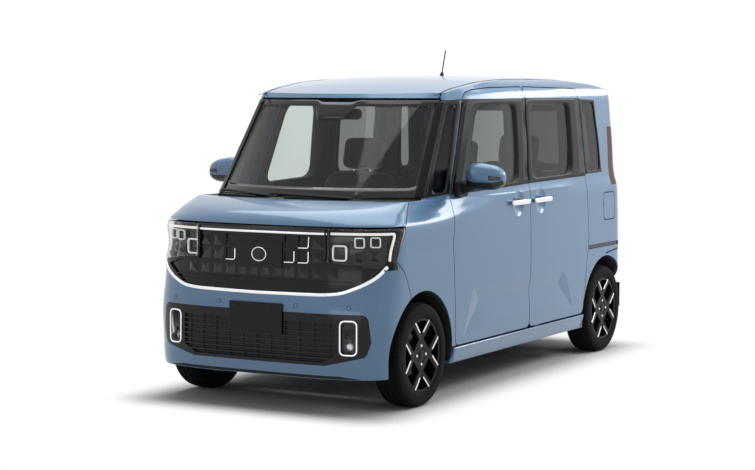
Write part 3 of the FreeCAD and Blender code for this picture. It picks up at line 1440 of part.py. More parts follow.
bar_pad.setExpression("Length", s.spoke_depth.text)
bars = wheel_body.newObject("PartDesign::PolarPattern", "bar_pattern")
bars.Originals = [bar_pad]
bars.Axis = (plane_of(wheel_body, "X_Axis"), [""])
bars.Angle = 360
bars.Occurrences = 4
wheel_body.Tip = bars
hub_profile = (
    (s.spoke_plane - s.hub_depth, s.hub_bore_radius),
    (s.spoke_plane, s.hub_bore_radius),
    (s.spoke_plane, s.hub_face_radius),
    (s.spoke_plane - s.hub_depth, s.hub_face_radius),
)
hub_sketch = outline_sketch(wheel_body, "hub_profile", "XZ_Plane", hub_profile)
hub_turn = wheel_body.newObject("PartDesign::Revolution", "hub_turn")
hub_turn.Profile = hub_sketch
hub_turn.ReferenceAxis = (hub_sketch, ["H_Axis"])
hub_turn.Angle = 360
doc.recompute()

HUB_GAP = s.wheel_fit
corners = (
    ("front_left", s.track_front / 2, FRONT_AXLE, 0),
    ("front_right", -s.track_front / 2, FRONT_AXLE, 180),
    ("rear_left", s.track_rear / 2, REAR_AXLE, 0),
    ("rear_right", -s.track_rear / 2, REAR_AXLE, 180),
)
for corner, x, y, turn in corners:
    for kind, master in (("tyre_", tyre_body), ("wheel_", wheel_body)):
        item = group(kind + corner, master)
        item.Placement = Placement(Vector(0, 0, 0), Rotation(Vector(0, 0, 1), turn))
        place(item, x, y, s.tyre_radius)
        keep_object(kind + corner, item)


def left_point(x, y, z):
    """A point on the left side in millimetres."""
    return Vector(float(x), float(y), float(z))


# Steering axis: through the lower ball joint and the strut.
pin_low = left_point(s.track_front / 2 - s.pin_low_inset, FRONT_AXLE, s.pin_low_height)
pin_high = left_point(s.track_front / 2 - s.pin_high_inset, FRONT_AXLE, s.pin_high_height)
pin_way = (pin_high - pin_low).normalize()
hub_face = float(s.track_front / 2 + s.spoke_plane - s.hub_depth - s.wheel_fit)


def along_x(radius, start, length, y, z):
    """Cylinder along the X axis ending at start."""
    return Part.makeCylinder(radius, length, Vector(start - length, y, z), Vector(1, 0, 0))


def hub_stack(face, y, barrel):
    """Hub flange, brake disc and barrel, outer face at the given station."""
    z = float(s.tyre_radius)
    flange = along_x(float(s.hub_radius), face, float(s.hub_wall), y, z)
    disc_face = face - float(s.hub_wall)
    disc = along_x(float(s.disc_radius), disc_face, float(s.disc_wall), y, z)
    barrel_face = disc_face - float(s.disc_wall)
    core = along_x(float(s.knuckle_radius), barrel_face, barrel, y, z)
    return flange.fuse(disc).fuse(core)


knuckle = hub_stack(hub_face, float(FRONT_AXLE), float(s.knuckle_length))
strut_start = pin_low + pin_way * float(s.tyre_radius - s.pin_low_height)
knuckle = knuckle.fuse(Part.makeCylinder(float(s.strut_radius), float(s.strut_length), strut_start, pin_way))
knuckle = knuckle.fuse(Part.makeCylinder(float(s.arm_radius), float(s.tyre_radius - s.pin_low_height), pin_low, pin_way))
knuckle = knuckle.fuse(Part.makeSphere(float(s.ball_radius), pin_low))
knuckle = main_solid(knuckle.removeSplitter())
keep("knuckle_left", knuckle)
keep("knuckle_right", right_of(knuckle))
strut_top = strut_start + pin_way * float(s.strut_length + s.strut_top_gap)

# Underbody: floor, firewall, risers, rails, towers and wheelhouse liners.
firewall_y = FRONT_AXLE + s.firewall_set_back
riser_y = REAR_AXLE - s.rear_riser_lead
wide = s.floor_half * 2


def block(x_half, y_low, y_high, z_low, z_high, x_middle=0):
    """Box centred on a width, between two stations and heights."""
    corner = Vector(x_middle - x_half, y_low, z_low)
    return Part.makeBox(2 * x_half, y_high - y_low, z_high - z_low, corner)


fire = float(firewall_y)
riser = float(riser_y)
floor_low = float(s.floor_height)
floor_top = float(s.floor_height + s.floor_wall)
wall = float(s.bulkhead_wall)
load_low = float(s.rear_floor_height)
load_top = load_low + float(s.floor_wall)
half_floor = float(s.floor_half)
load_half = float(s.rear_floor_half)
floor_end = float(s.floor_tail)
pieces = [
    block(half_floor, fire, riser, floor_low, floor_top),
    block(load_half, fire, fire + wall, floor_low, float(s.firewall_top)),
    block(load_half, riser - wall, riser, floor_low, load_top),
    block(load_half, riser - wall, floor_end, load_low, load_top),
]
post_low = float(s.hinge_low) - hinge_half * 1.2
post_top = float(s.firewall_top)
leaf_x = hinge_x - float(s.hinge_leaf_reach)
post_inner = leaf_x - leaf_half
post_back = hinge_y - float(s.hinge_set_back) - GAP * 2
post_front = post_back - float(s.post_length)
upper_low = float(s.tyre_radius + s.arch_radius + s.liner_wall) + GAP
pieces.append(block(post_inner + leaf_half, fire, fire + wall, upper_low, post_top))
rail_half = float(s.rail_size) / 2
for side in (1, -1):
    post_middle = side * (post_inner + float(s.post_width) / 2)
    pieces.append(block(float(s.post_width) / 2, post_front, post_back, post_low, post_top, post_middle))
    pieces.append(block(leaf_half, fire, post_back, upper_low, post_top, side * leaf_x))
    for height in hinge_heights:
        leaf_low = height - hinge_half
        leaf_top = height + hinge_half
        pieces.append(block(leaf_half, post_back - leaf_half, hinge_y + leaf_half, leaf_low, leaf_top, side * leaf_x))
        reach_out = hinge_x - pin_radius - FIT - leaf_x
        pieces.append(block(reach_out / 2, hinge_y - leaf_half, hinge_y + leaf_half, leaf_low, leaf_top,
                            side * (leaf_x + reach_out / 2)))
for side in (1, -1):
    rail_x = side * float(s.rail_spacing) / 2
    rail_z = float(s.rail_height)
    pieces.append(block(rail_half, -float(s.rail_nose), fire, rail_z - rail_half, rail_z + rail_half, rail_x))
pieces.append(block(load_half, floor_end, tail, load_low, load_top))
underbody = pieces[0]
for piece in pieces[1:]:
    underbody = underbody.fuse(piece)
underbody = underbody.common(body_master(float(s.panel_wall) + FIT, False))
wheel_room = Part.makeCylinder(
    float(s.arch_radius), float(s.side_reach),
    Vector(float(s.housing_half + s.liner_wall), float(FRONT_AXLE), float(s.tyre_radius)), Vector(1, 0, 0))
underbody = underbody.cut(wheel_room).cut(wheel_room.mirror(*mirror_plane))


def liner(axle, inner, skin_inset):
    """Wheelhouse over one axle, left side, ending behind the outer skin."""
    z = float(s.tyre_radius)
    radius = float(s.arch_radius)
    thick = float(s.liner_wall)
    length = WIDE - inner
    base = Vector(inner, float(axle), z)
    shell = Part.makeCylinder(radius + thick, length, base, Vector(1, 0, 0))
    hollow = Part.makeCylinder(radius, length, base + Vector(thick, 0, 0), Vector(1, 0, 0))
    upper = block(WIDE, float(axle) - radius * 2, float(axle) + radius * 2, z, z + radius * 2)
    shell = shell.cut(hollow).common(upper)
    return main_solid(shell.common(body_master(skin_inset + FIT, False)))


front_liner = liner(FRONT_AXLE, float(s.housing_half), float(s.panel_wall))
well = Part.makeCylinder(float(s.strut_radius) + float(s.strut_well), float(s.strut_length) * 3, strut_start, pin_way)
front_liner = front_liner.cut(well)
rear_liner = liner(REAR_AXLE, load_half - float(s.liner_wall), float(s.door_depth))
beam_room = float(s.beam_radius) + float(s.strut_well)
rear_liner = rear_liner.cut(along_x(beam_room, WIDE, WIDE, float(REAR_AXLE), float(s.tyre_radius)))
strut_end = strut_top.z + float(s.strut_radius) * abs(pin_way.x)
tower_top = block(float(s.tower_half), strut_top.y - float(s.tower_half), strut_top.y + float(s.tower_half),
                  strut_end, strut_end + wall, strut_top.x)
tower_wall = block(float(s.liner_wall) / 2, strut_top.y - float(s.tower_half), strut_top.y + float(s.tower_half),
                   float(s.rail_height), strut_top.z + wall, strut_top.x - float(s.tower_half))
tower = tower_top.fuse(tower_wall)
for shape in (front_liner, rear_liner, tower):
    underbody = underbody.fuse(shape)
    underbody = underbody.fuse(shape.mirror(Vector(0, 0, 0), Vector(1, 0, 0)))
keep("underbody", main_solid(underbody.removeSplitter()))

X_AXIS = Vector(1, 0, 0)
Y_AXIS = Vector(0, 1, 0)
Z_AXIS = Vector(0, 0, 1)
ZERO = s.arch_lift

# Front crossmember with a lower arm on each side.
member = box("member", s.rail_spacing, s.crossmember_size, s.crossmember_size, ZERO,
             FRONT_AXLE - s.crossmember_size / 2, s.crossmember_height - s.crossmember_size / 2)
arm_start = s.rail_spacing / 2 - s.crossmember_size
arm_end = s.track_front / 2 - s.pin_low_inset
arm_height = s.pin_low_height - s.ball_radius - s.wheel_fit - s.arm_radius
arm = rod("arm", s.arm_radius, arm_end - arm_start, arm_start, FRONT_AXLE, arm_height, X_AXIS)
foot = box("arm_foot", s.crossmember_size, s.crossmember_size, s.crossmember_height - arm_height,
           arm_start, FRONT_AXLE - s.crossmember_size / 2, arm_height)
hanger_low = s.crossmember_height + s.crossmember_size / 2
hanger = box("hanger", s.crossmember_size, s.crossmember_size,
             s.rail_height - s.rail_size / 2 - hanger_low - s.wheel_fit,
             s.rail_spacing / 2 - s.crossmember_size / 2, FRONT_AXLE - s.crossmember_size / 2, hanger_low)
arm_side = union("arm_side", arm, foot, hanger)
arm_other = mirrored("arm_other", arm_side)
keep_object("front_suspension", union("front_suspension", member, arm_side, arm_other))

# Rear beam, trailing arms and hubs.
rear_face = s.track_rear / 2 + s.spoke_plane - s.hub_depth - s.wheel_fit
beam_half = rear_face - s.hub_wall - s.disc_wall
beam = rod("beam", s.beam_radius, beam_half * 2, -beam_half, REAR_AXLE, s.tyre_radius, X_AXIS)
rear_disc = rod("rear_disc", s.disc_radius, s.disc_wall, beam_half, REAR_AXLE, s.tyre_radius, X_AXIS)
rear_flange = rod("rear_flange", s.hub_radius, s.hub_wall, beam_half + s.disc_wall, REAR_AXLE,
                  s.tyre_radius, X_AXIS)
trail_start = riser_y + s.wheel_fit
trail = box("trail", s.trail_width, REAR_AXLE - trail_start, s.trail_width, s.trail_side,
            trail_start, s.tyre_radius - s.trail_width / 2)
rear_side = union("rear_side", rear_disc, rear_flange, trail)
rear_other = mirrored("rear_other", rear_side)
keep_object("rear_axle", union("rear_axle", beam, rear_side, rear_other))

# Plain engine block, fuel tank and exhaust.
engine_rear = FRONT_AXLE - s.crossmember_size / 2 - s.seat_fit
engine = padded_body("engine_block", "YZ_Plane", (
    (engine_rear - s.engine_length, s.engine_base),
    (engine_rear, s.engine_base),
    (engine_rear, s.engine_base + s.engine_height),
    (engine_rear - s.engine_length, s.engine_base + s.engine_height)), s.engine_width)
keep_object("engine", engine)
tank_top = s.floor_height - s.seat_fit
tank = padded_body("tank_body", "YZ_Plane", (
    (s.tank_front, tank_top - s.tank_height),
    (s.tank_front + s.tank_length, tank_top - s.tank_height),
    (s.tank_front + s.tank_length, tank_top),
    (s.tank_front, tank_top)), s.tank_width)
keep_object("fuel_tank", tank)

pipe_z = float(s.floor_height - s.seat_fit - s.pipe_radius)
pipe_x = -float(s.pipe_side)
muffler_z = float(s.silencer_height)
muffler_x = -float(s.silencer_side)
muffler_y = float(REAR_AXLE + s.silencer_back)
muffler_end = muffler_y + float(s.silencer_length)
pipe_path = (
    Vector(pipe_x, fire, pipe_z),
    Vector(pipe_x, float(REAR_AXLE + s.beam_radius), pipe_z),
    Vector(muffler_x, muffler_y, muffler_z),
)
exhaust = Part.makeCylinder(float(s.silencer_radius), float(s.silencer_length), pipe_path[-1], Y_AXIS)
exhaust = exhaust.fuse(Part.makeCylinder(
    float(s.pipe_radius), float(s.tailpipe_end) - muffler_end, Vector(muffler_x, muffler_end, muffler_z), Y_AXIS))
for start, end in zip(pipe_path, pipe_path[1:]):
    way = end - start
    exhaust = exhaust.fuse(Part.makeCylinder(float(s.pipe_radius), way.Length, start, way))
    exhaust = exhaust.fuse(Part.makeSphere(float(s.pipe_radius), start))
keep("exhaust", main_solid(exhaust.removeSplitter()))

# Dashboard with the column, and the steering wheel in front of the right seat.
dash = padded_body("dash_body", "YZ_Plane", (
    (-s.dash_front, s.dash_height),
    (-s.dash_rear, s.dash_height + s.cushion_height),
    (-s.dash_rear, s.dash_top - s.dash_slope),
    (-s.dash_rear - s.dash_slope, s.dash_top),
    (-s.dash_front, s.dash_top)), s.dash_half * 2)
rake = float(s.column_rake)
column_way = Vector(0, math.cos(math.radians(rake)), math.sin(math.radians(rake)))
wheel_centre = Vector(-float(s.wheel_centre_side), -float(s.wheel_centre_back), float(s.wheel_centre_height))
column_gap = float(s.wheel_boss_depth + s.wheel_fit)
column_end = wheel_centre - column_way * column_gap
column = Part.makeCylinder(float(s.column_radius), float(s.column_length),
                           column_end - column_way * float(s.column_length), column_way)
doc.recompute()
keep("dashboard", main_solid(dash.Shape.fuse(column).removeSplitter()))

ring = doc.addObject("Part::Torus", "steering_rim")
bind(ring, Radius1=s.wheel_rim_radius, Radius2=s.wheel_rim_tube)
boss = doc.addObject("Part::Cylinder", "steering_boss")
bind(boss, Radius=s.wheel_boss_radius, Height=s.wheel_boss_depth)
place(boss, None, None, -s.wheel_boss_depth)
spoke_z = -s.wheel_boss_depth / 2
bar_across = box("steering_bar", s.wheel_rim_radius * 2, s.wheel_spoke_width, s.wheel_rim_tube,
                 ZERO, -s.wheel_spoke_width / 2, spoke_z)
bar_down = doc.addObject("Part::Box", "steering_stem")
bind(bar_down, Length=s.wheel_spoke_width, Width=s.wheel_rim_radius, Height=s.wheel_rim_tube)
place(bar_down, -s.wheel_spoke_width / 2, -s.wheel_rim_radius, spoke_z)
steering = union("steering_wheel", ring, boss, bar_across, bar_down)
steering.Placement = Placement(Vector(0, 0, 0), Rotation(X_AXIS, rake - 90))
place(steering, -s.wheel_centre_side, -s.wheel_centre_back, s.wheel_centre_height)
keep_object("steering_wheel", steering)


def seat(name, width, front, base, floor, x):
    """Seat with cushion, raked back and head restraint.

    Args:
        name: name of the group.
        width: width of the seat.
        front: station of the cushion front.
        base: height of the cushion underside.
        floor: height that the frame stands on.
        x: middle of the seat.

    Returns:
        The seat as one fused object.
    """
    cushion = box(name + "_cushion", width, s.cushion_length, s.cushion_height, x, front, base)
    frame = box(name + "_frame", width * SEAT_FRAME_SHARE, s.cushion_length * SEAT_FRAME_SHARE,
                base - floor, x, front + s.cushion_length * (1 - SEAT_FRAME_SHARE) / 2, floor)
    back = box(name + "_back", width, s.backrest_depth, s.backrest_height, x,
               ZERO - s.backrest_depth, ZERO)
    head_z = s.backrest_height + s.headrest_gap
    head = box(name + "_head", s.headrest_width, s.headrest_depth, s.headrest_height, x,
               ZERO - s.headrest_depth - s.post_radius, head_z)
    stem = box(name + "_stem", s.headrest_width / 2, s.post_radius * 2, s.headrest_gap, x,
               ZERO - s.backrest_depth / 2, s.backrest_height)
    upper = union(name + "_upper", back, head, stem)
    upper.Placement = Placement(Vector(0, 0, 0), Rotation(X_AXIS, -float(s.backrest_rake)))
    place(upper, ZERO, front + s.cushion_length, base + s.cushion_height / 2)
    return union(name + "_seat", cushion, frame, upper)


SEAT_FRAME_SHARE = 0.8
seat_floor = s.floor_height + s.floor_wall + s.seat_fit
left_seat = seat("left", s.seat_width, -s.seat_front, s.cushion_base, seat_floor, s.seat_side)
right_seat = seat("right", s.seat_width, -s.seat_front, s.cushion_base, seat_floor, -s.seat_side)
keep_object("front_seats", group("front_seats", left_seat, right_seat))
bench_floor = s.floor_height + s.floor_wall + s.seat_fit
bench = seat("bench", s.rear_seat_width, s.rear_seat_front - s.cushion_length / 2, s.rear_cushion_base,
             bench_floor, ZERO)
keep_object("rear_seat", bench)

# Roof antenna, plates and wipers.
mast_y = float(s.antenna_back)
foot_height = float(s.antenna_base_radius)
lean = math.radians(float(s.antenna_rake))
mast_way = Vector(0, math.sin(lean), math.cos(lean))
under_foot = outer_cab.common(upright(foot_height, float(s.antenna_side), mast_y, float(s.cowl_height) + FAR, TALL + FAR))
mast_foot = Vector(float(s.antenna_side), mast_y, under_foot.optimalBoundingBox().ZMax + FIT)
mast = Part.makeCone(foot_height, foot_height / 2, foot_height * 1.5, mast_foot, Z_AXIS)
mast = mast.fuse(Part.makeCylinder(float(s.antenna_radius), float(s.antenna_height),
                                   mast_foot + Vector(0, 0, foot_height), mast_way))
keep("antenna", main_solid(mast))


def plate(face, base, outward):
    """Number plate on its backing block, which stands on the body skin.

    Args:
        face: station of the plate's outer face.
        base: height of its lower edge.
        outward: -1 at the nose, 1 at the tail.

    Returns:
        The plate and its backing as one solid.
    """
    half = float(s.plate_width) / 2
    thick = float(s.plate_wall)
    low = float(base)
    high = low + float(s.plate_height)
    back = face - outward * thick
    shape = block(half, min(face, back), max(face, back), low, high)
    deep = back - outward * FAR
    bed = block(half * PLATE_BED_SHARE, min(back, deep), max(back, deep), low + thick, high - thick)
    shape = main_solid(shape.fuse(bed.cut(outer_low)).removeSplitter())
    for side in (1, -1):
        start = Vector(side * float(s.plate_hole_spacing) / 2, face + outward * thick, high - float(s.plate_hole_drop))
        hole = Part.makeCylinder(float(s.plate_hole_radius), float(s.plate_hole_depth), start, Y_AXIS * -outward)
        shape = shape.cut(hole)
    return shape


PLATE_BED_SHARE = 0.94
front_plate_y = -float(LENGTH) / 2
rear_plate_z = float(s.rear_plate_base)
rear_plate_y = table(TAIL_SHARES, rear_plate_z / TALL) * LONG + float(s.plate_wall + s.plate_lift)
keep("front_plate", plate(front_plate_y, s.plate_base, -1))
keep("rear_plate", plate(rear_plate_y, s.rear_plate_base, 1))

wiper_z = float(s.cowl_height + s.wiper_radius + s.seat_fit)
wiper_ends = [(x * WIDE, y * LONG) for x, y in WIPER_SHARES]
wipers = []
for (start_x, start_y), (end_x, end_y) in zip(wiper_ends[::2], wiper_ends[1::2]):
    start = Vector(start_x, start_y, wiper_z)
    way = Vector(end_x, end_y, wiper_z) - start
    wipers.append(Part.makeCylinder(float(s.wiper_radius), way.Length, start, way))
keep("cowl", Part.makeCompound([cowl] + wipers))


# Door mirror: head, and a stalk from the door skin.
mirror_y = -float(s.mirror_back)
mirror_low = float(s.mirror_base_height)
stalk_z = mirror_low + float(s.mirror_stalk) / 2
door_face = side_half(mirror_y + float(s.mirror_depth) / 2, stalk_z)
head_x = WIDE + float(s.mirror_gap) + float(s.mirror_width) / 2
head = block(float(s.mirror_width) / 2, mirror_y, mirror_y + float(s.mirror_depth), mirror_low,
             mirror_low + float(s.mirror_height), head_x)
head = head.makeFillet(float(s.mirror_round), head.Edges)
stalk_half = float(s.mirror_stalk) / 2
stalk_y = mirror_y + float(s.mirror_depth) / 2
stalk = block((head_x - door_face) / 2, stalk_y - stalk_half, stalk_y + stalk_half, mirror_low + stalk_half / 2,
              mirror_low + stalk_half * 2.5, (head_x + door_face) / 2)
stalk = stalk.cut(outer_low).cut(outer_cab)
mirror = main_solid(head.fuse(stalk).removeSplitter())
keep("mirror_left", mirror)
keep("mirror_right", right_of(mirror))

doc.recompute()
for item in doc.Objects:
    for state in item.State:
        if state in ("Invalid", "Error"):
            raise RuntimeError("%s: %s" % (item.Name, state))
os.makedirs(PARTS_FOLDER, exist_ok=True)
for item in sub_parts:
    if item.Shape.isNull() or not item.Shape.isValid():
        raise RuntimeError("%s: bad shape" % item.Label)
for item in sub_parts:
    item.Shape.exportStep(os.path.join(PARTS_FOLDER, item.Label + ".step"))
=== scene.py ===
"""Looks of a tall five-door kei wagon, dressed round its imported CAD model.

Lengths are in metres in the car's frame: +X is the car's left, the nose faces -Y and +Z is up.
Every outer trim lies on the real skin, which is found by striking the CAD triangles with rays.
Pieces of both sides are made from points of the left side, which are mirrored for the right.
"""

import logging
import math
from dataclasses import dataclass
from enum import Enum
from functools import cached_property
from typing import Callable, Optional, Sequence

import bmesh
import bpy
import numpy as np
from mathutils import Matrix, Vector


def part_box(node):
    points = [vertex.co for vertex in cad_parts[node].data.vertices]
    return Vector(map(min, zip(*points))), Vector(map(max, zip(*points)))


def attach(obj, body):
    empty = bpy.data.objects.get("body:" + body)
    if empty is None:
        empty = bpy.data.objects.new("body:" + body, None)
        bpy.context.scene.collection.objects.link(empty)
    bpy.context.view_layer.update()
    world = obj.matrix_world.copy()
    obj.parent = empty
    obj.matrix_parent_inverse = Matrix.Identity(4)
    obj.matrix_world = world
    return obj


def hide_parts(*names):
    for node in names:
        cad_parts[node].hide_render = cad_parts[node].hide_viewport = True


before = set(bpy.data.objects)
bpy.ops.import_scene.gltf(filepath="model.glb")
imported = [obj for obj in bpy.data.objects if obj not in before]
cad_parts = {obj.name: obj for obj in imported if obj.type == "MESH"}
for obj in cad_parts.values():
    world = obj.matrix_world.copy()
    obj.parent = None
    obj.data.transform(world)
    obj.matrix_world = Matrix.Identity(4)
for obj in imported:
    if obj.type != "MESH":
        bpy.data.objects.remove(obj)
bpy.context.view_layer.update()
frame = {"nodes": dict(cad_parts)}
LOG = logging.getLogger("kei_wagon")
Array = np.ndarray
Colour = tuple[float, float, float]
Corners = tuple[tuple[float, float], ...]
SHELL = "car_body"
MILLI = 0.001
TINY = 1e-12
RIGHT_ANGLE = math.pi / 2
OUT, IN, AHEAD, BACK, UP, DOWN = (1, 0, 0), (-1, 0, 0), (0, -1, 0), (0, 1, 0), (0, 0, 1), (0, 0, -1)
WHEEL_WORDS = ("front_left", "front_right", "rear_left", "rear_right")


class Side(Enum):
    """The two sides of the car, with the sign of X and the word in piece names."""

    LEFT = (1.0, "left")
    RIGHT = (-1.0, "right")

    @property
    def sign(self) -> float:
        """Sign of X on this side."""
        return self.value[0]

    @property
    def word(self) -> str:
        """The side's word in names of bodies and pieces."""
        return self.value[1]

    @property
    def door(self) -> str:
        """Body of this side's front door."""
        return "door_" + self.word


class NodeBook:
    """A node tree with short ways to add and join nodes."""

    def __init__(self, holder: bpy.types.ID, output: str = "OutputMaterial") -> None:
        """Start an empty tree on a material or a world, with its output node."""
        holder.use_nodes = True
        self.holder = holder
        self.tree = holder.node_tree
        self.tree.nodes.clear()
        self.output = self.add(output)

    @cached_property
    def place(self) -> bpy.types.NodeSocket:
        """Object coordinates."""
        return self.add("TexCoord").outputs["Object"]

    def add(self, kind: str, inputs: Optional[dict] = None, **settings: object) -> bpy.types.Node:
        """Add a node.

        Args:
            kind: node type without its ShaderNode prefix.
            inputs: a value or a source socket for inputs, by name or number.
            settings: properties set on the node.

        Returns:
            The node.
        """
        node = self.tree.nodes.new("ShaderNode" + kind)
        for key, value in settings.items():
            setattr(node, key, value)
        for key, value in (inputs or {}).items():
            if isinstance(value, bpy.types.NodeSocket):
                self.tree.links.new(value, node.inputs[key])
            else:
                node.inputs[key].default_value = value
        return node

    def noise(self, scale: float, detail: float = 3.0) -> bpy.types.NodeSocket:
        """Noise factor with a number of cells per metre."""
        return self.add("TexNoise", {"Scale": scale, "Detail": detail, "Vector": self.place}).outputs["Fac"]

    def spread(self, factor: bpy.types.NodeSocket, low: float, high: float) -> bpy.types.NodeSocket:
        """Map the factor's middle half to a range."""
        ends = {"From Min": 0.25, "From Max": 0.75, "To Min": low, "To Max": high, "Value": factor}
        return self.add("MapRange", ends).outputs["Result"]

    def tint(self, factor: bpy.types.NodeSocket, first: Colour, second: Colour) -> bpy.types.NodeSocket:
        """Blend two colours by a factor."""
        return self.add("Mix", {0: factor, 6: (*first, 1.0), 7: (*second, 1.0)},
                        data_type="RGBA").outputs[2]

    def bump(self, height: bpy.types.NodeSocket, distance: float) -> bpy.types.NodeSocket:
        """Normal of a relief whose depth is given in metres."""
        return self.add("Bump", {"Strength": 1.0, "Distance": distance, "Height": height}).outputs["Normal"]

    def close(self, shader: bpy.types.Node) -> bpy.types.ID:
        """Join the last shader to the output and hand over the material or world."""
        self.tree.links.new(shader.outputs[0], self.output.inputs["Surface"])
        return self.holder


def scaled(colour: Colour, share: float) -> Colour:
    """A colour times a share, held between 0 and 1."""
    return tuple(float(np.clip(channel * share, 0, 1)) for channel in colour)


@dataclass(frozen=True)
class Finish:
    """What every finish has: a name, which is also its material's name."""

    name: str

    def book(self) -> NodeBook:
        """An empty node tree on a new material."""
        return NodeBook(bpy.data.materials.new(self.name))


@dataclass(frozen=True)
class Solid(Finish):
    """An opaque finish with mottled colour, uneven gloss and fine grain."""

    colour: Colour
    roughness: float
    metallic: float = 0.0
    coat: float = 0.0
    mottle: float = 0.08
    mottle_scale: float = 9.0
    grain: float = 900.0
    depth: float = 0.0
    uneven: float = 0.05
    glow: float = 0.0
    specular: float = 0.5

    def build(self) -> bpy.types.Material:
        """Make the material.

        Returns:
            The material.
        """
        book = self.book()
        smooth, rough = max(self.roughness - self.uneven, 0.02), self.roughness + self.uneven
        dark, pale = scaled(self.colour, 1 - self.mottle), scaled(self.colour, 1 + self.mottle)
        inputs = {"Base Color": book.tint(book.noise(self.mottle_scale), dark, pale),
                  "Roughness": book.spread(book.noise(self.mottle_scale * 4), smooth, rough),
                  "Metallic": self.metallic, "Specular IOR Level": self.specular,
                  "Coat Weight": self.coat, "Coat Roughness": 0.03}
        if self.glow:
            inputs.update({"Emission Color": (*self.colour, 1.0), "Emission Strength": self.glow})
        if self.depth:
            inputs["Normal"] = book.bump(book.noise(self.grain, 1.0), self.depth)
        return book.close(book.add("BsdfPrincipled", inputs))


@dataclass(frozen=True)
class Faceted(Finish):
    """Gloss black of the grille, with a painted highlight: the faces that look down are painted in a paler
    colour.
    """

    colour: Colour = (0.007, 0.007, 0.008)
    # paler colour of the faces that look down: a painted highlight
    under: Colour = (0.060, 0.060, 0.064)
    roughness: float = 0.14
    uneven: float = 0.03
    slopes: tuple[float, float] = (-0.14, -0.22)

    def build(self) -> bpy.types.Material:
        """Make the material: the share of the painted highlight grows as the surface turns downwards past
        its slopes.

        Returns:
            The material.
        """
        book = self.book()
        # painted highlight: the colour turns paler on faces that look downwards
        facing = book.add("SeparateXYZ", {0: book.add("NewGeometry").outputs["Normal"]})
        share = book.add("MapRange", {"From Min": self.slopes[0], "From Max": self.slopes[1], "To Min": 0.0,
                                      "To Max": 1.0, "Value": facing.outputs["Z"]})
        gloss = book.spread(book.noise(30.0), self.roughness - self.uneven, self.roughness + self.uneven)
        return book.close(book.add("BsdfPrincipled", {
            "Base Color": book.tint(share.outputs["Result"], self.colour, self.under), "Roughness": gloss,
            "Specular IOR Level": 0.26}))


@dataclass(frozen=True)
class MetallicPaint(Finish):
    """Body paint: fine bright flakes in a tinted base under a clear coat."""

    colour: Colour = (0.086, 0.203, 0.362)
    flake: Colour = (0.19, 0.33, 0.51)
    flakes_per_metre: float = 2600.0
    metallic: float = 0.22
    roughness: float = 0.36

    def build(self) -> bpy.types.Material:
        """Make the material.

        Returns:
            The material.
        """
        book = self.book()
        cells = book.add("TexVoronoi", {"Scale": self.flakes_per_metre, "Vector": book.place})
        grey = book.add("RGBToBW", {"Color": cells.outputs["Color"]})
        sparkle = book.spread(grey.outputs["Val"], 0.0, 0.55)
        return book.close(book.add("BsdfPrincipled", {
            "Base Color": book.tint(sparkle, self.colour, self.flake),
            "Roughness": book.spread(book.noise(3.0), self.roughness - 0.02, self.roughness + 0.03),
            "Metallic": self.metallic, "Specular IOR Level": 0.1, "Coat Weight": 1.0,
            "Coat Roughness": 0.10}))


@dataclass(frozen=True)
class Pane(Finish):
    """Glazing: light passes with a tint, and the mirrored share grows steeply at a glancing view."""

    passing: Colour
    mirror: float = 0.02
    cloud: float = 0.03
    steepness: float = 5.0

    def build(self) -> bpy.types.Material:
        """Make the material.

        Returns:
            The material.
        """
        book = self.book()
        tone = book.tint(book.noise(2.5), scaled(self.passing, 1 - self.cloud),
                         scaled(self.passing, 1 + self.cloud))
        clear = book.add("BsdfTransparent", {"Color": tone})
        gloss = book.add("BsdfGlossy", {"Roughness": 0.02})
        facing = book.add("LayerWeight", {"Blend": 0.5}).outputs["Facing"]
        steep = book.add("Math", {0: facing, 1: self.steepness}, operation="POWER").outputs[0]
        share = book.add("Math", {0: steep, 1: 1 - self.mirror, 2: self.mirror},
                         operation="MULTIPLY_ADD").outputs[0]
        return book.close(book.add("MixShader", {0: share, 1: clear.outputs[0], 2: gloss.outputs[0]}))


@dataclass(frozen=True)
class Woven(Finish):
    """Seat cloth: two crossed waves as a weave over a slow colour change."""

    colour: Colour
    threads_per_metre: float = 520.0
    relief: float = 0.0006

    def build(self) -> bpy.types.Material:
        """Make the material.

        Returns:
            The material.
        """
        book = self.book()
        waves = [book.add("TexWave",
                          {"Scale": self.threads_per_metre / 6.3, "Distortion": 0.6, "Vector": book.place},
                          bands_direction=direction).outputs["Fac"] for direction in ("X", "Z")]
        weave = book.add("Math", {0: waves[0], 1: waves[1]}, operation="MULTIPLY").outputs[0]
        tone = book.tint(book.spread(weave, 0.2, 0.9), scaled(self.colour, 0.7), scaled(self.colour, 1.3))
        return book.close(book.add("BsdfPrincipled",
                                   {"Base Color": tone, "Roughness": 0.9, "Sheen Weight": 0.3,
                                    "Normal": book.bump(weave, self.relief)}))


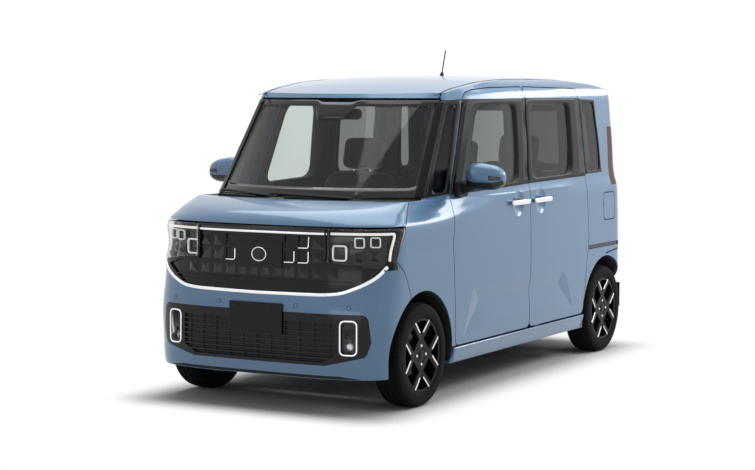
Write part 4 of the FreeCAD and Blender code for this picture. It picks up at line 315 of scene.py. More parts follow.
RECIPES = (
    MetallicPaint("ice_blue_paint"),
    Solid("black_gloss_trim", (0.007, 0.007, 0.008), 0.12, coat=0.25, mottle=0.15, uneven=0.03,
          specular=0.25),
    Solid("black_matte_trim", (0.013, 0.0125, 0.0125), 0.55, depth=0.00015, grain=1400, specular=0.2),
    Solid("pillar_film", (0.007, 0.0065, 0.006), 0.24, mottle=0.12, uneven=0.02, specular=0.16),
    Solid("smoke_strip", (0.045, 0.044, 0.045), 0.18, coat=0.3, mottle=0.1, specular=0.3),
    Solid("bright_chrome", (0.86, 0.87, 0.88), 0.09, metallic=1.0, mottle=0.03, uneven=0.02),
    Faceted("facet_black"),
    Solid("light_guide", (1.0, 0.95, 0.88), 0.25, glow=0.62, mottle=0.03),
    Solid("lamp_bowl", (0.030, 0.030, 0.033), 0.22, metallic=0.4, mottle=0.2, specular=0.3),
    Solid("red_lens", (0.070, 0.003, 0.004), 0.14, coat=0.15, mottle=0.12, mottle_scale=60, specular=0.2),
    Solid("lamp_frame", (0.84, 0.85, 0.87), 0.18, metallic=0.6, mottle=0.03, glow=0.22),
    Solid("reflector_silver", (0.72, 0.73, 0.75), 0.16, metallic=1.0, mottle=0.05),
    Solid("alloy_black", (0.0045, 0.0045, 0.005), 0.32, mottle=0.15, specular=0.10),
    Solid("alloy_cut", (0.80, 0.81, 0.83), 0.20, metallic=1.0, mottle=0.05, grain=3000, depth=0.00002),
    Solid("tyre_rubber", (0.008, 0.008, 0.0085), 0.78, mottle=0.25, mottle_scale=30, grain=1500,
          depth=0.0001, specular=0.12),
    Solid("cast_steel", (0.16, 0.155, 0.15), 0.5, metallic=0.8, mottle=0.3, mottle_scale=40, grain=500,
          depth=0.0002),
    Solid("underseal", (0.014, 0.014, 0.015), 0.8, mottle=0.3, mottle_scale=12, grain=380, depth=0.0006,
          specular=0.2),
    Solid("exhaust_steel", (0.33, 0.31, 0.29), 0.38, metallic=0.9, mottle=0.25, mottle_scale=25),
    Solid("tank_black", (0.015, 0.015, 0.016), 0.6, mottle=0.2, grain=500, depth=0.0003),
    Solid("dash_grain", (0.020, 0.0195, 0.019), 0.62, grain=1100, depth=0.0002, specular=0.25),
    Solid("door_card", (0.024, 0.023, 0.0225), 0.7, grain=1000, depth=0.0002, specular=0.25),
    Solid("head_lining", (0.16, 0.156, 0.147), 0.95, grain=1400, depth=0.0003, mottle=0.05, specular=0.1),
    Solid("screen_black", (0.0045, 0.0045, 0.005), 0.08, coat=0.2, mottle=0.1, specular=0.3),
    Solid("plate_black", (0.008, 0.008, 0.0085), 0.42, mottle=0.1, grain=900, depth=0.00005, specular=0.2),
    Solid("plate_pale", (0.72, 0.72, 0.66), 0.4, mottle=0.04),
    Solid("mirror_silver", (0.9, 0.9, 0.9), 0.03, metallic=1.0, mottle=0.02, uneven=0.01),
    Pane("front_glass", (0.88, 0.905, 0.892)),
    Pane("privacy_glass", (0.47, 0.48, 0.475)),
    Pane("lamp_cover", (0.95, 0.955, 0.96), mirror=0.010),
    Woven("seat_cloth", (0.040, 0.039, 0.040)),
)


def xyz(x: Array, y: Array, z: Array) -> Array:
    """Points from coordinates that broadcast together."""
    return np.stack(np.broadcast_arrays(*(np.asarray(part, float) for part in (x, y, z))), -1)


def unit(vectors: Array) -> Array:
    """Vectors of length one."""
    return vectors / np.maximum(np.linalg.norm(vectors, axis=-1, keepdims=True), TINY)


def power(value: Array, share: float) -> Array:
    """Signed power."""
    return np.sign(value) * np.abs(value) ** share


def across(points: Sequence[tuple[float, ...]], value: Array, column: int = 1) -> Array:
    """Read a column of a table by straight lines between its rows.

    Args:
        points: rows that start with the value looked up, in millimetres.
        value: values to look up, in metres.
        column: which entry is returned.

    Returns:
        The entries in metres.
    """
    rows = np.asarray(points, float) * MILLI
    return np.interp(value, rows[:, 0], rows[:, column])


@dataclass(frozen=True)
class BodyForm:
    """The body's outer surface as functions, close to the CAD skin. Its tables are in millimetres."""

    half_width: float = 0.7375
    belt_share: float = 0.97356
    taper: float = 0.01
    tail_start: float = 1.480
    taper_start: float = 0.300
    corner_power: float = 2.4
    screen_power: float = 2.2
    roof_half: float = 0.6
    roof_drop: float = 0.023
    side: tuple = ((170, 22), (285, 10), (500, 2), (700, 0), (900, 1.5), (1010, 5), (1130, 9))
    crease: tuple = ((-1400, 988), (-837, 992), (-524, 1007), (-380, 1045), (-233, 1085), (51, 1099),
                     (520, 1122), (771, 1108), (895, 1047), (1583, 1063))
    belt: tuple = ((-1335, 1116), (1010, 1160), (1700, 1173))
    lean: tuple = ((1110, 0), (1400, 18), (1645, 36), (1700, 50), (1740, 78), (1760, 112), (1795, 200))
    nose: tuple = ((192, -1681), (300, -1689), (420, -1690), (540, -1688), (610, -1680), (650, -1674),
                   (800, -1668), (900, -1665), (983, -1655), (1015, -1632), (1045, -1590), (1072, -1520),
                   (1092, -1435), (1104, -1352))
    fullness: tuple = ((192, 3400), (540, 3300), (610, 3100), (650, 3000), (800, 2750), (983, 2550),
                       (1045, 2400), (1104, 2200))
    nose_start: tuple = ((192, -1390), (983, -1380), (1045, -1310), (1104, -1236))
    tail: tuple = ((192, 1687), (300, 1694), (420, 1696), (540, 1693), (610, 1686), (800, 1672),
                   (1112, 1655), (1300, 1637), (1463, 1615), (1600, 1585), (1700, 1548), (1775, 1515))
    screen: tuple = ((1104, -1284, -1061, 666), (1300, -1124, -933, 644), (1500, -961, -802, 622),
                     (1666, -826, -693, 604), (1795, -721, -606, 590))
    crown: tuple = ((-1500, 1440), (-1200, 1560), (-1000, 1622), (-822, 1674), (-600, 1724), (-300, 1764),
                    (0, 1781), (400, 1785), (800, 1781), (1200, 1762), (1450, 1736), (1750, 1690))

    def belt_half(self, y: Array, z: Array) -> Array:
        """Half width above the belt: a leaning side that narrows to both ends."""
        full = self.belt_share * self.half_width - across(self.lean, z)
        aft = np.clip((y - self.taper_start) / (self.tail_start - self.taper_start), 0, None)
        full = full - self.taper * aft ** 2
        ahead = np.clip(y / across(self.screen, z, 2), 0, 1)
        return np.where(y >= 0, full,
                        full - (full - across(self.screen, z, 3)) * ahead ** self.corner_power)

    def half(self, y: Array, z: Array) -> Array:
        """Half width of the body: upright below the crease, leaning in above it.

        Args:
            y: stations.
            z: heights.

        Returns:
            The half widths.
        """
        y, z = np.broadcast_arrays(np.asarray(y, float), np.asarray(z, float))
        crease, belt = across(self.crease, y), across(self.belt, y)
        lower = self.half_width - across(self.side, np.minimum(z, crease))
        upper = self.belt_half(y, np.maximum(z, belt))
        slope = lower + (upper - lower) * np.clip((z - crease) / (belt - crease), 0, 1)
        return np.where(z <= crease, lower, np.where(z >= belt, upper, slope))

    def nose_plan(self, z: Array) -> tuple[Array, Array, Array]:
        """Start, middle and power of the nose curve, a superellipse in plan, at heights."""
        return across(self.nose_start, z), across(self.nose, z), 2 / across(self.fullness, z)

    def nose_at(self, turn: Array, z: Array) -> Array:
        """Points of the nose at angles from the left side, 0, to the middle, a right angle."""
        start, middle, power = self.nose_plan(z)
        bow = np.abs(np.sin(turn)) ** power
        return xyz(self.half(start, z) * np.abs(np.cos(turn)) ** power, start + (middle - start) * bow, z)

    def nose_turn(self, x: Array, z: Array) -> Array:
        """Angle of the nose curve at which a half width is reached."""
        start, _, power = self.nose_plan(z)
        return np.arccos(np.clip(np.abs(x) / self.half(start, z), 0, 1) ** (1 / power))

    def nose_turn_along(self, y: Array, z: Array) -> Array:
        """Angle of the nose curve at which a station is reached."""
        start, middle, power = self.nose_plan(z)
        return np.arcsin(np.clip((y - start) / (middle - start), 0, 1) ** (1 / power))

    def screen_at(self, x: Array, z: Array) -> Array:
        """Points of the windscreen, bowed in plan."""
        middle, corner, half = (across(self.screen, z, column) for column in (1, 2, 3))
        return xyz(x, middle + (corner - middle) * np.clip(np.abs(x) / half, 0, 1) ** self.screen_power, z)

    def tail_at(self, x: Array, z: Array) -> Array:
        """Points of the tail, a cubic superellipse in plan."""
        bow = (1 - np.clip(np.abs(x) / self.half(self.tail_start, z), 0, 1) ** 3) ** (1 / 3)
        return xyz(x, self.tail_start + (across(self.tail, z) - self.tail_start) * bow, z)

    def roof_at(self, x: Array, y: Array) -> Array:
        """Points of the roof crown."""
        return xyz(x, y, across(self.crown, y) - self.roof_drop * (np.abs(x) / self.roof_half) ** 2)


FORM = BodyForm()


def mesh_triangles(mesh: bpy.types.Mesh) -> Array:
    """Corner points of a mesh's triangles: triangles by corners."""
    mesh.calc_loop_triangles()
    spots = np.empty(len(mesh.vertices) * 3, np.float32)
    mesh.vertices.foreach_get("co", spots)
    corners = np.empty(len(mesh.loop_triangles) * 3, np.int32)
    mesh.loop_triangles.foreach_get("vertices", corners)
    return spots.reshape(-1, 3)[corners].reshape(-1, 3, 3)


class Skin:
    """The outer skin of some CAD nodes, found by striking their triangles with rays."""

    BATCH = 96

    def __init__(self, *names: str) -> None:
        """Collect the triangles of the CAD nodes."""
        triangles = np.concatenate([mesh_triangles(frame["nodes"][name].data) for name in names])
        self.corner = triangles[:, 0]
        self.first = triangles[:, 1] - triangles[:, 0]
        self.second = triangles[:, 2] - triangles[:, 0]

    def strike(self, points: Array, ways: Sequence[float], reach: float = 0.012) -> Array:
        """Move points along their rays to the skin, by the ray and triangle formula for all pairs.

        A point that meets no triangle within its reach moves as far as the others do in the middle.

        Args:
            points: points near the skin.
            ways: unit ways towards the inside.
            reach: the most that a point may move.

        Returns:
            Points on the skin.
        """
        spots = points.reshape(-1, 3).astype(np.float32)
        ways = np.broadcast_to(np.asarray(ways, float), points.shape).reshape(-1, 3).astype(np.float32)
        starts = spots - ways * 2 * reach
        shift = np.full(len(spots), np.nan, np.float32)
        for low in range(0, len(spots), self.BATCH):
            part = slice(low, low + self.BATCH)
            way = ways[part][:, None]
            cross = np.cross(way, self.second[None])
            det = np.einsum("rmk,mk->rm", cross, self.first)
            det = np.where(np.abs(det) < TINY, np.nan, det)
            gap = starts[part][:, None] - self.corner[None]
            u = np.einsum("rmk,rmk->rm", gap, cross) / det
            turn = np.cross(gap, self.first[None])
            v = np.einsum("rmk,rmk->rm", np.broadcast_to(way, turn.shape), turn) / det
            far = np.einsum("rmk,mk->rm", turn, self.second) / det
            good = (u >= 0) & (v >= 0) & (u + v <= 1) & (far > 0) & (far < 4 * reach)
            far = np.where(good, far, np.inf).min(1)
            shift[part] = np.where(np.isfinite(far), far - 2 * reach, np.nan)
        known = np.isfinite(shift) & (np.abs(shift) <= reach)
        shift = np.where(known, shift, float(np.median(shift[known])) if known.any() else 0.0)
        return (spots + ways * shift[:, None]).reshape(points.shape).astype(float)


def side_points(skin: Skin, y: Array, z: Array, lift: float = 0.0) -> Array:
    """Points on the left side skin, standing proud by the lift."""
    return skin.strike(xyz(FORM.half(y, z), y, z), IN) + np.array([lift, 0.0, 0.0])


def nose_points(skin: Optional[Skin], x: Array, z: Array, lift: float = 0.0) -> Array:
    """Points on the nose skin at widths of either sign and heights, moved out along the skin's normal."""
    x, z = np.broadcast_arrays(np.asarray(x, float), np.asarray(z, float))
    return nose_lifted(skin, FORM.nose_turn(x, z), z, np.where(x < 0, -1.0, 1.0), lift)


def nose_lifted(skin: Optional[Skin], turn: Array, z: Array, sign: Array, lift: float) -> Array:
    """Points on the nose at angles of its plan curve.

    Args:
        skin: skin that they lie on, or none for the form itself.
        turn: angles of the plan curve.
        z: heights.
        sign: side of each point.
        lift: how far they stand proud along the normal.

    Returns:
        The points.
    """
    step = 0.004
    along = FORM.nose_at(turn + step, z) - FORM.nose_at(turn - step, z)
    normal = unit(xyz(-along[..., 1], along[..., 0], 0.0))
    normal = np.where(normal[..., 1:2] > 0, -normal, normal)
    flip = xyz(sign, 1.0, 1.0)
    guess, normal = FORM.nose_at(turn, z) * flip, normal * flip
    return (guess if skin is None else skin.strike(guess, -normal)) + normal * lift


def skin_rings(skin: Skin, middle: tuple[float, float], outline: Array, shares: Sequence[float],
               lifts: Sequence[float]) -> Array:
    """An outline on the nose skin about its middle, once for each share of its size and lift."""
    return np.stack([nose_points(skin, middle[0] + outline[:, 0] * share, middle[1] + outline[:, 1] * share,
                                 lift)
                     for share, lift in zip(shares, lifts)])


def rings(outline: Array, shares: Sequence[float], lifts: Sequence[float]) -> tuple[Array, Array, Array]:
    """An outline once for each share of its size: its two coordinates and the lift, rings by points."""
    share, lift = np.asarray(shares, float)[:, None], np.asarray(lifts, float)[:, None]
    return outline[:, 0] * share, outline[:, 1] * share, lift + 0 * outline[:, 0]


def quads(rows: int, columns: int, wrap_rows: bool = False, wrap_columns: bool = False) -> Array:
    """Index quads of a grid.

    Args:
        rows: points along the first way.
        columns: points along the second way.
        wrap_rows: join the last row to the first.
        wrap_columns: join the last column to the first.

    Returns:
        Array of four indices each.
    """
    r = np.arange(rows if wrap_rows else rows - 1)[:, None]
    c = np.arange(columns if wrap_columns else columns - 1)[None]
    r2, c2 = (r + 1) % rows, (c + 1) % columns
    faces = np.stack([r * columns + c, r2 * columns + c, r2 * columns + c2, r * columns + c2], -1)
    return faces.reshape(-1, 4)


def capped(rows: int, columns: int) -> list[list[int]]:
    """Faces of a grid that closes round its columns, with a face on both ends."""
    ends = [list(range(columns))[::-1], list(range((rows - 1) * columns, rows * columns))]
    return quads(rows, columns, wrap_columns=True).tolist() + ends


def circle(steps: int) -> Array:
    """Pairs of a unit circle, anticlockwise."""
    angle = np.linspace(0, 2 * math.pi, steps, endpoint=False)
    return np.stack([np.cos(angle), np.sin(angle)], -1)


def pill(width: float, height: float, radius: float, steps: int = 4) -> Array:
    """Rounded rectangle about the origin, anticlockwise.

    Args:
        width: extent along the first axis.
        height: extent along the second axis.
        radius: corner radius.
        steps: points on each corner.

    Returns:
        Pairs of coordinates.
    """
    angle = np.linspace(0, RIGHT_ANGLE, steps) + np.arange(4)[:, None] * RIGHT_ANGLE
    signs = np.array([[1, 1], [-1, 1], [-1, -1], [1, -1]])[:, None]
    middle = signs * np.array([width / 2 - radius, height / 2 - radius])
    return (middle + radius * np.stack([np.cos(angle), np.sin(angle)], -1)).reshape(-1, 2)


def loop_through(corners: Corners, per_side: int, rounding: int = 0) -> Array:
    """Closed loop through corners, each side divided evenly, then rounded by averaging along it.

    Args:
        corners: corner pairs.
        per_side: points on each side.
        rounding: half width of the average in points.

    Returns:
        The pairs.
    """
    ends = np.asarray(corners, float)
    shares = np.arange(per_side)[None, :, None] / per_side
    loop = (ends[:, None] * (1 - shares) + np.roll(ends, -1, 0)[:, None] * shares).reshape(-1, 2)
    return np.mean([np.roll(loop, step, 0) for step in range(-rounding, rounding + 1)], 0)


def line_through(points: Sequence[Sequence[float]], count: int, rounding: int = 0) -> Array:
    """Open line through points, spaced evenly along its length, with its bends rounded.

    Args:
        points: rows of coordinates.
        count: points returned.
        rounding: half width of the average in points.

    Returns:
        The points.
    """
    ends = np.asarray(points, float)
    reach = np.concatenate([[0], np.cumsum(np.linalg.norm(np.diff(ends, axis=0), axis=1))])
    at = np.linspace(0, reach[-1], count)
    line = np.stack([np.interp(at, reach, column) for column in ends.T], -1)
    padded = np.concatenate([np.repeat(line[:1], rounding, 0), line, np.repeat(line[-1:], rounding, 0)])
    window = np.ones(2 * rounding + 1) / (2 * rounding + 1)
    return np.stack([np.convolve(column, window, "valid") for column in padded.T], -1)


def between(inner: Array, outer: Array, steps: int) -> Array:
    """Loops spaced evenly from an inner one to an outer one: loops by points."""
    shares = np.linspace(0, 1, steps)[:, None, None]
    return inner * (1 - shares) + outer * shares


def facing_axes(facing: Array) -> tuple[Array, Array]:
    """The level way and the upward way of a plane that faces a way."""
    level = unit(np.cross(facing, np.array([0.0, 0.0, 1.0])))
    return level, np.cross(level, facing)


def mirrored(points: Sequence[float], side: Optional[Side]) -> Array:
    """Points or ways of the left side, or their mirror image for the right."""
    return np.asarray(points, float) * (np.ones(3) if side is None else np.array([side.sign, 1.0, 1.0]))


def titled(name: str, side: Optional[Side]) -> str:
    """Name of a piece with its side's word."""
    return name if side is None else name + "_" + side.word


def bring_outward(item: bpy.types.Object) -> None:
    """Turn the faces of a closed mesh outwards: the signed volume must be positive."""
    t = mesh_triangles(item.data).astype(float)
    t = t - t.reshape(-1, 3).mean(0)
    if float(np.einsum("ij,ij->i", t[:, 0], np.cross(t[:, 1], t[:, 2])).sum()) < 0:
        item.data.flip_normals()


def weld(item: bpy.types.Object, distance: float = 1e-5) -> None:
    """Merge points of a mesh that lie together, so that poles and seams are closed."""
    work = bmesh.new()
    work.from_mesh(item.data)
    bmesh.ops.remove_doubles(work, verts=work.verts, dist=distance)
    work.to_mesh(item.data)
    work.free()


class Workshop:
    def __init__(self) -> None:
        """Build every material of the recipes."""
        self.finishes = {recipe.name: recipe.build() for recipe in RECIPES}

    def piece(self, name: str, points: Array, faces: Sequence[Sequence[int]], finish: str,
              body: str = SHELL, side: Optional[Side] = None, smooth: bool = True, wall: float = 0.0,
              crisp: Optional[float] = 35.0) -> bpy.types.Object:
        """Make a mesh piece that rides on a body.

        Args:
            name: name of the piece without its side.
            points: vertices, any leading shape.
            faces: indices of each face's corners.
            finish: name of the material.
            body: body that it rides on.
            side: side of the car, or none for a piece that isn't mirrored.
            smooth: smooth shading.
            wall: thickness added inwards to an open sheet.
            crisp: edges sharper than this many degrees stay sharp.

        Returns:
            The object.
        """
        name = titled(name, side)
        mesh = bpy.data.meshes.new(name)
        corners = faces.tolist() if isinstance(faces, np.ndarray) else faces
        mesh.from_pydata(mirrored(points, side).reshape(-1, 3).tolist(), [], corners)
        mesh.update()
        item = bpy.data.objects.new(name, mesh)
        bpy.context.scene.collection.objects.link(item)
        if smooth:
            mesh.shade_smooth()
            if crisp is not None:
                mesh.set_sharp_from_angle(angle=math.radians(crisp))
        mesh.materials.append(self.finishes[finish])
        if wall:
            solid = item.modifiers.new("wall", "SOLIDIFY")
            solid.thickness = wall
            solid.offset = -1.0
        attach(item, body)
        LOG.info("%s on %s: %d faces", name, body, len(faces))
        return item

    def closed(self, name: str, points: Array, faces: Sequence[Sequence[int]], finish: str,
               body: str = SHELL, side: Optional[Side] = None, crisp: Optional[float] = None,
               welded: bool = False) -> bpy.types.Object:
        """Make a closed piece with its faces turned outwards, if asked with its doubled points welded."""
        item = self.piece(name, points, faces, finish, body, side, crisp=crisp)
        if welded:
            weld(item)
        bring_outward(item)
        return item

    def tube(self, name: str, path: Array, up: Sequence[float], profile: Array, finish: str,
             body: str = SHELL, side: Optional[Side] = None, closed: bool = False) -> bpy.types.Object:
        """Carry a closed profile along a path: each point is path + a * beside + b * up.

        Args:
            name: name of the piece without its side.
            path: points of the path on the left side.
            up: way of the profile's second axis, one or one for each point.
            profile: pairs (a, b), anticlockwise.
            finish: name of the material.
            body: body that it rides on.
            side: side of the car, or none.
            closed: the path is a loop.

        Returns:
            The object.
        """
        path = mirrored(path, side)
        tangent = unit(np.roll(path, -1, 0) - np.roll(path, 1, 0) if closed else np.gradient(path, axis=0))
        beside = unit(np.cross(tangent, np.broadcast_to(mirrored(up, side), path.shape)))
        up = unit(np.cross(beside, tangent))
        points = path[:, None] + profile[:, :1] * beside[:, None] + profile[:, 1:] * up[:, None]
        if closed:
            faces = quads(len(path), len(profile), wrap_rows=True, wrap_columns=True)[:, ::-1]
        else:
            faces = [face[::-1] for face in capped(len(path), len(profile))]
        return self.piece(titled(name, side), points, faces, finish, body)

    def sheet(self, name: str, grid: Array, finish: str, outward: Optional[Sequence[float]] = None,
              body: str = SHELL, side: Optional[Side] = None, wall: float = 0.0015, loop: bool = False,
              axis: Optional[Sequence[float]] = None, crisp: Optional[float] = 35.0) -> bpy.types.Object:
        """Make a sheet with a wall from a grid of points.

        Args:
            name: name of the piece without its side.
            grid: points of the left side, rows by columns.
            finish: name of the material.
            outward: the way that its faces look on the left side.
            body: body that it rides on.
            side: side of the car, or none.
            wall: thickness added inwards.
            loop: each row is a closed ring.
            axis: station and height of a line across the car that the faces look at instead.
            crisp: edges sharper than this many degrees stay sharp.

        Returns:
            The object.
        """
        grid = mirrored(np.swapaxes(grid, 0, 1) if loop else grid, side)
        faces = quads(grid.shape[0], grid.shape[1], wrap_rows=loop)
        if outward is not None or axis is not None:
            corners = grid.reshape(-1, 3)[faces[:, :3]]
            normals = np.cross(corners[:, 1] - corners[:, 0], corners[:, 2] - corners[:, 0])
            if axis is None:
                ways = mirrored(outward, side)
            else:
                ways = (np.array([0.0, *axis]) - corners.mean(1)) * np.array([0.0, 1.0, 1.0])
            if (normals * ways).sum() < 0:
                faces = faces[:, ::-1]
        return self.piece(titled(name, side), grid, faces, finish, body, wall=wall, crisp=crisp)

    def dress(self, finish: str, *nodes: str) -> None:
        """Give CAD nodes their material."""
        for node in nodes:
            materials = frame["nodes"][node].data.materials
            materials.clear()
            materials.append(self.finishes[finish])


@dataclass(frozen=True)
class Opening:
    """A side window: its frame's name, its word, the CAD node under it, and outlines as corners (y, z)."""

    frame: str
    word: str
    node: str
    outer: Corners
    inner: Corners

    def body(self, side: Side) -> str:
        """Body that carries its pieces."""
        return side.door if self.word == "front" else SHELL


@dataclass
class Glazing:
    """Black window surrounds, belt strips and the screens' painted borders."""

    shop: Workshop
    proud: float = 0.0012
    depth: float = 0.069
    shrink: float = 0.997
    corner_points: int = 14
    openings: tuple[Opening, ...] = (
        Opening("window_frame_front", "front", "front_door_left",
                ((-0.794, 1.127), (0.164, 1.150), (0.1735, 1.648), (-0.553, 1.646)),
                ((-0.632, 1.143), (0.004, 1.160), (0.018, 1.616), (-0.423, 1.611))),
        Opening("window_frame_slide", "slide", "sliding_doors",
                ((0.170, 1.151), (1.0215, 1.162), (0.974, 1.646), (0.180, 1.648)),
                ((0.234, 1.171), (0.779, 1.178), (0.789, 1.623), (0.234, 1.613))),
        Opening("window_frame_quarter", "quarter", "body_sides",
                ((1.031, 1.166), (1.303, 1.170), (1.232, 1.634), (0.984, 1.642)),
                ((1.056, 1.182), (1.288, 1.185), (1.220, 1.620), (1.012, 1.624))),
        Opening("pillar_cover_front", "sail", "body_sides",
                ((-1.045, 1.113), (-0.806, 1.126), (-0.563, 1.646), (-0.705, 1.640)),
                ((-0.983, 1.136), (-0.834, 1.134), (-0.616, 1.610), (-0.690, 1.610))))
    belts: tuple[Corners, ...] = (((-0.79, 1.128), (0.163, 1.151)), ((0.171, 1.152), (1.019, 1.163)))
    pillar_way: tuple = (-0.62, 0.78, -0.12)
    ditch_y: tuple = (-0.80, -0.6, -0.4, 0.0, 0.6, 1.2, 1.5)
    ditch_x: tuple = (0.577, 0.582, 0.588, 0.5945, 0.5945, 0.590, 0.583)

    def surround(self, opening: Opening, skin: Skin, side: Side) -> None:
        """A ring between two outlines on the side skin."""
        flat = between(loop_through(opening.inner, self.corner_points, 2),
                       loop_through(opening.outer, self.corner_points), 4)
        grid = side_points(skin, flat[..., 0], flat[..., 1], self.proud)
        self.shop.sheet(opening.frame, grid, "pillar_film", OUT, opening.body(side), side, loop=True,
                        crisp=None)

    def reveal(self, opening: Opening, side: Side) -> None:
        """The dark lining of a window's edge: its outline carried inwards from the skin."""
        rim = loop_through(opening.inner, self.corner_points, 2)
        middle = rim.mean(0)
        y, z = (middle + (rim - middle) * self.shrink).T
        x = FORM.half(y, z) - np.array([-MILLI, self.depth / 2, self.depth])[:, None]
        self.shop.sheet("window_reveal_" + opening.word, xyz(x, y, z), "black_matte_trim", None,
                        opening.body(side), side, 0.0014, loop=True, axis=middle, crisp=None)

    def corner(self, skin: Skin, side: Side) -> None:
        """A black cover round the front pillar: along the screen to its corner, then along the side."""
        z = np.linspace(1.114, 1.643, 28)[:, None]
        corner_y, corner_x = across(FORM.screen, z, 2), across(FORM.screen, z, 3)
        front = FORM.screen_at(corner_x * np.linspace(0.940, 1.0, 7)[:-1], z)
        end = np.interp(z, [1.113, 1.640], [-1.040, -0.700])
        y = corner_y + (end - corner_y) * np.linspace(0, 1, 9)
        guess = np.concatenate([front, xyz(FORM.half(y, z), y, z)], 1)
        way = unit(np.array(self.pillar_way))
        shift = ((skin.strike(guess, way, 0.03) - guess) * way).sum(-1, keepdims=True)
        grid = guess + way * (np.minimum(shift, 0.0) - 2 * self.proud)
        self.shop.sheet("pillar_cover_corner", grid, "pillar_film", (1, -1, 0), side=side, wall=0.0012,
                        crisp=None)

    def ditch(self, skin: Skin, side: Side) -> None:
        """The dark moulding in the joint between the roof and the body side."""
        y = np.linspace(-0.770, 1.500, 90)
        guess = FORM.roof_at(np.interp(y, self.ditch_y, self.ditch_x), y) - np.array([0.0, 0.0, 0.004])
        path = skin.strike(guess, DOWN, 0.05)
        path[:, 2] = line_through(path[:, 1:], len(y), 2)[:, 1]
        self.shop.tube("roof_ditch", path, (0.3, 0, 1), pill(0.010, 0.003, 0.0014, 3), "black_matte_trim",
                       side=side)

    def border(self, name: str, node: str, flat: Array, surface: Callable[[Array, Array], Array],
               way: float, ahead: float = 0.0, body: str = SHELL) -> None:
        """A painted border on a screen.

        Args:
            name: name of the piece.
            node: CAD node of the pane.
            flat: loops as (x, z).
            surface: form of the pane.
            way: sign of Y that leads inwards.
            ahead: how far behind the form the rays aim.
            body: body that it rides on.
        """
        guess = surface(flat[..., 0], flat[..., 1]) + np.array([0.0, ahead, 0.0])
        grid = Skin(node).strike(guess, (0.0, way, 0.0), 0.03) - np.array([0.0, way * self.proud, 0.0])
        self.shop.sheet(name, grid, "screen_black", (0.0, -way, 0.0), body, wall=0.001, loop=True,
                        crisp=None)

    def borders(self) -> None:
        """The windscreen's border, with the camera's window in its top edge, and the rear window's."""
        rim = loop_through(((-0.650, 1.112), (0.650, 1.112), (0.590, 1.646), (-0.590, 1.646)), 72)
        hole = loop_through(((-0.610, 1.166), (0.610, 1.166), (0.557, 1.606), (-0.557, 1.606)), 72, 3)
        hole[:, 1] -= 0.076 * (hole[:, 1] > 1.5) / (1 + np.exp((np.abs(hole[:, 0]) - 0.112) / 0.007))
        self.border("windscreen_border", "windscreen", between(hole, rim, 4), FORM.screen_at, 1.0, 0.004)
        rim = loop_through(((-0.556, 1.154), (0.556, 1.154), (0.517, 1.596), (-0.517, 1.596)), 24)
        hole = loop_through(((-0.505, 1.200), (0.505, 1.200), (0.470, 1.555), (-0.470, 1.555)), 24, 2)
        self.border("tailgate_window_border", "tailgate_glass", between(hole, rim, 3), FORM.tail_at, -1.0,
                    body="tailgate")

    def build(self) -> None:
        """Make every surround on both sides."""
        skins = {node: Skin(node) for node in ("body_sides", "sliding_doors", "front_door_left")}
        for side in Side:
            for opening in self.openings:
                self.surround(opening, skins[opening.node], side)
            for opening in self.openings:
                self.reveal(opening, side)
            for opening, ends in zip(self.openings, self.belts):
                y, z = line_through(ends, 24).T
                self.shop.tube("belt_strip_" + opening.word, side_points(skins[opening.node], y, z, 0.001),
                               OUT, pill(0.016, 0.006, 0.0028), "black_matte_trim", opening.body(side),
                               side)
        pillar_skin, roof_skin = Skin("body_sides", "windscreen"), Skin("roof_panel", "body_sides")
        for side in Side:
            self.corner(pillar_skin, side)
            self.ditch(roof_skin, side)
        self.borders()
        self.shop.dress("front_glass", "front_door_glass_left", "front_door_glass_right", "windscreen")
        self.shop.dress("privacy_glass", "side_glass", "tailgate_glass")


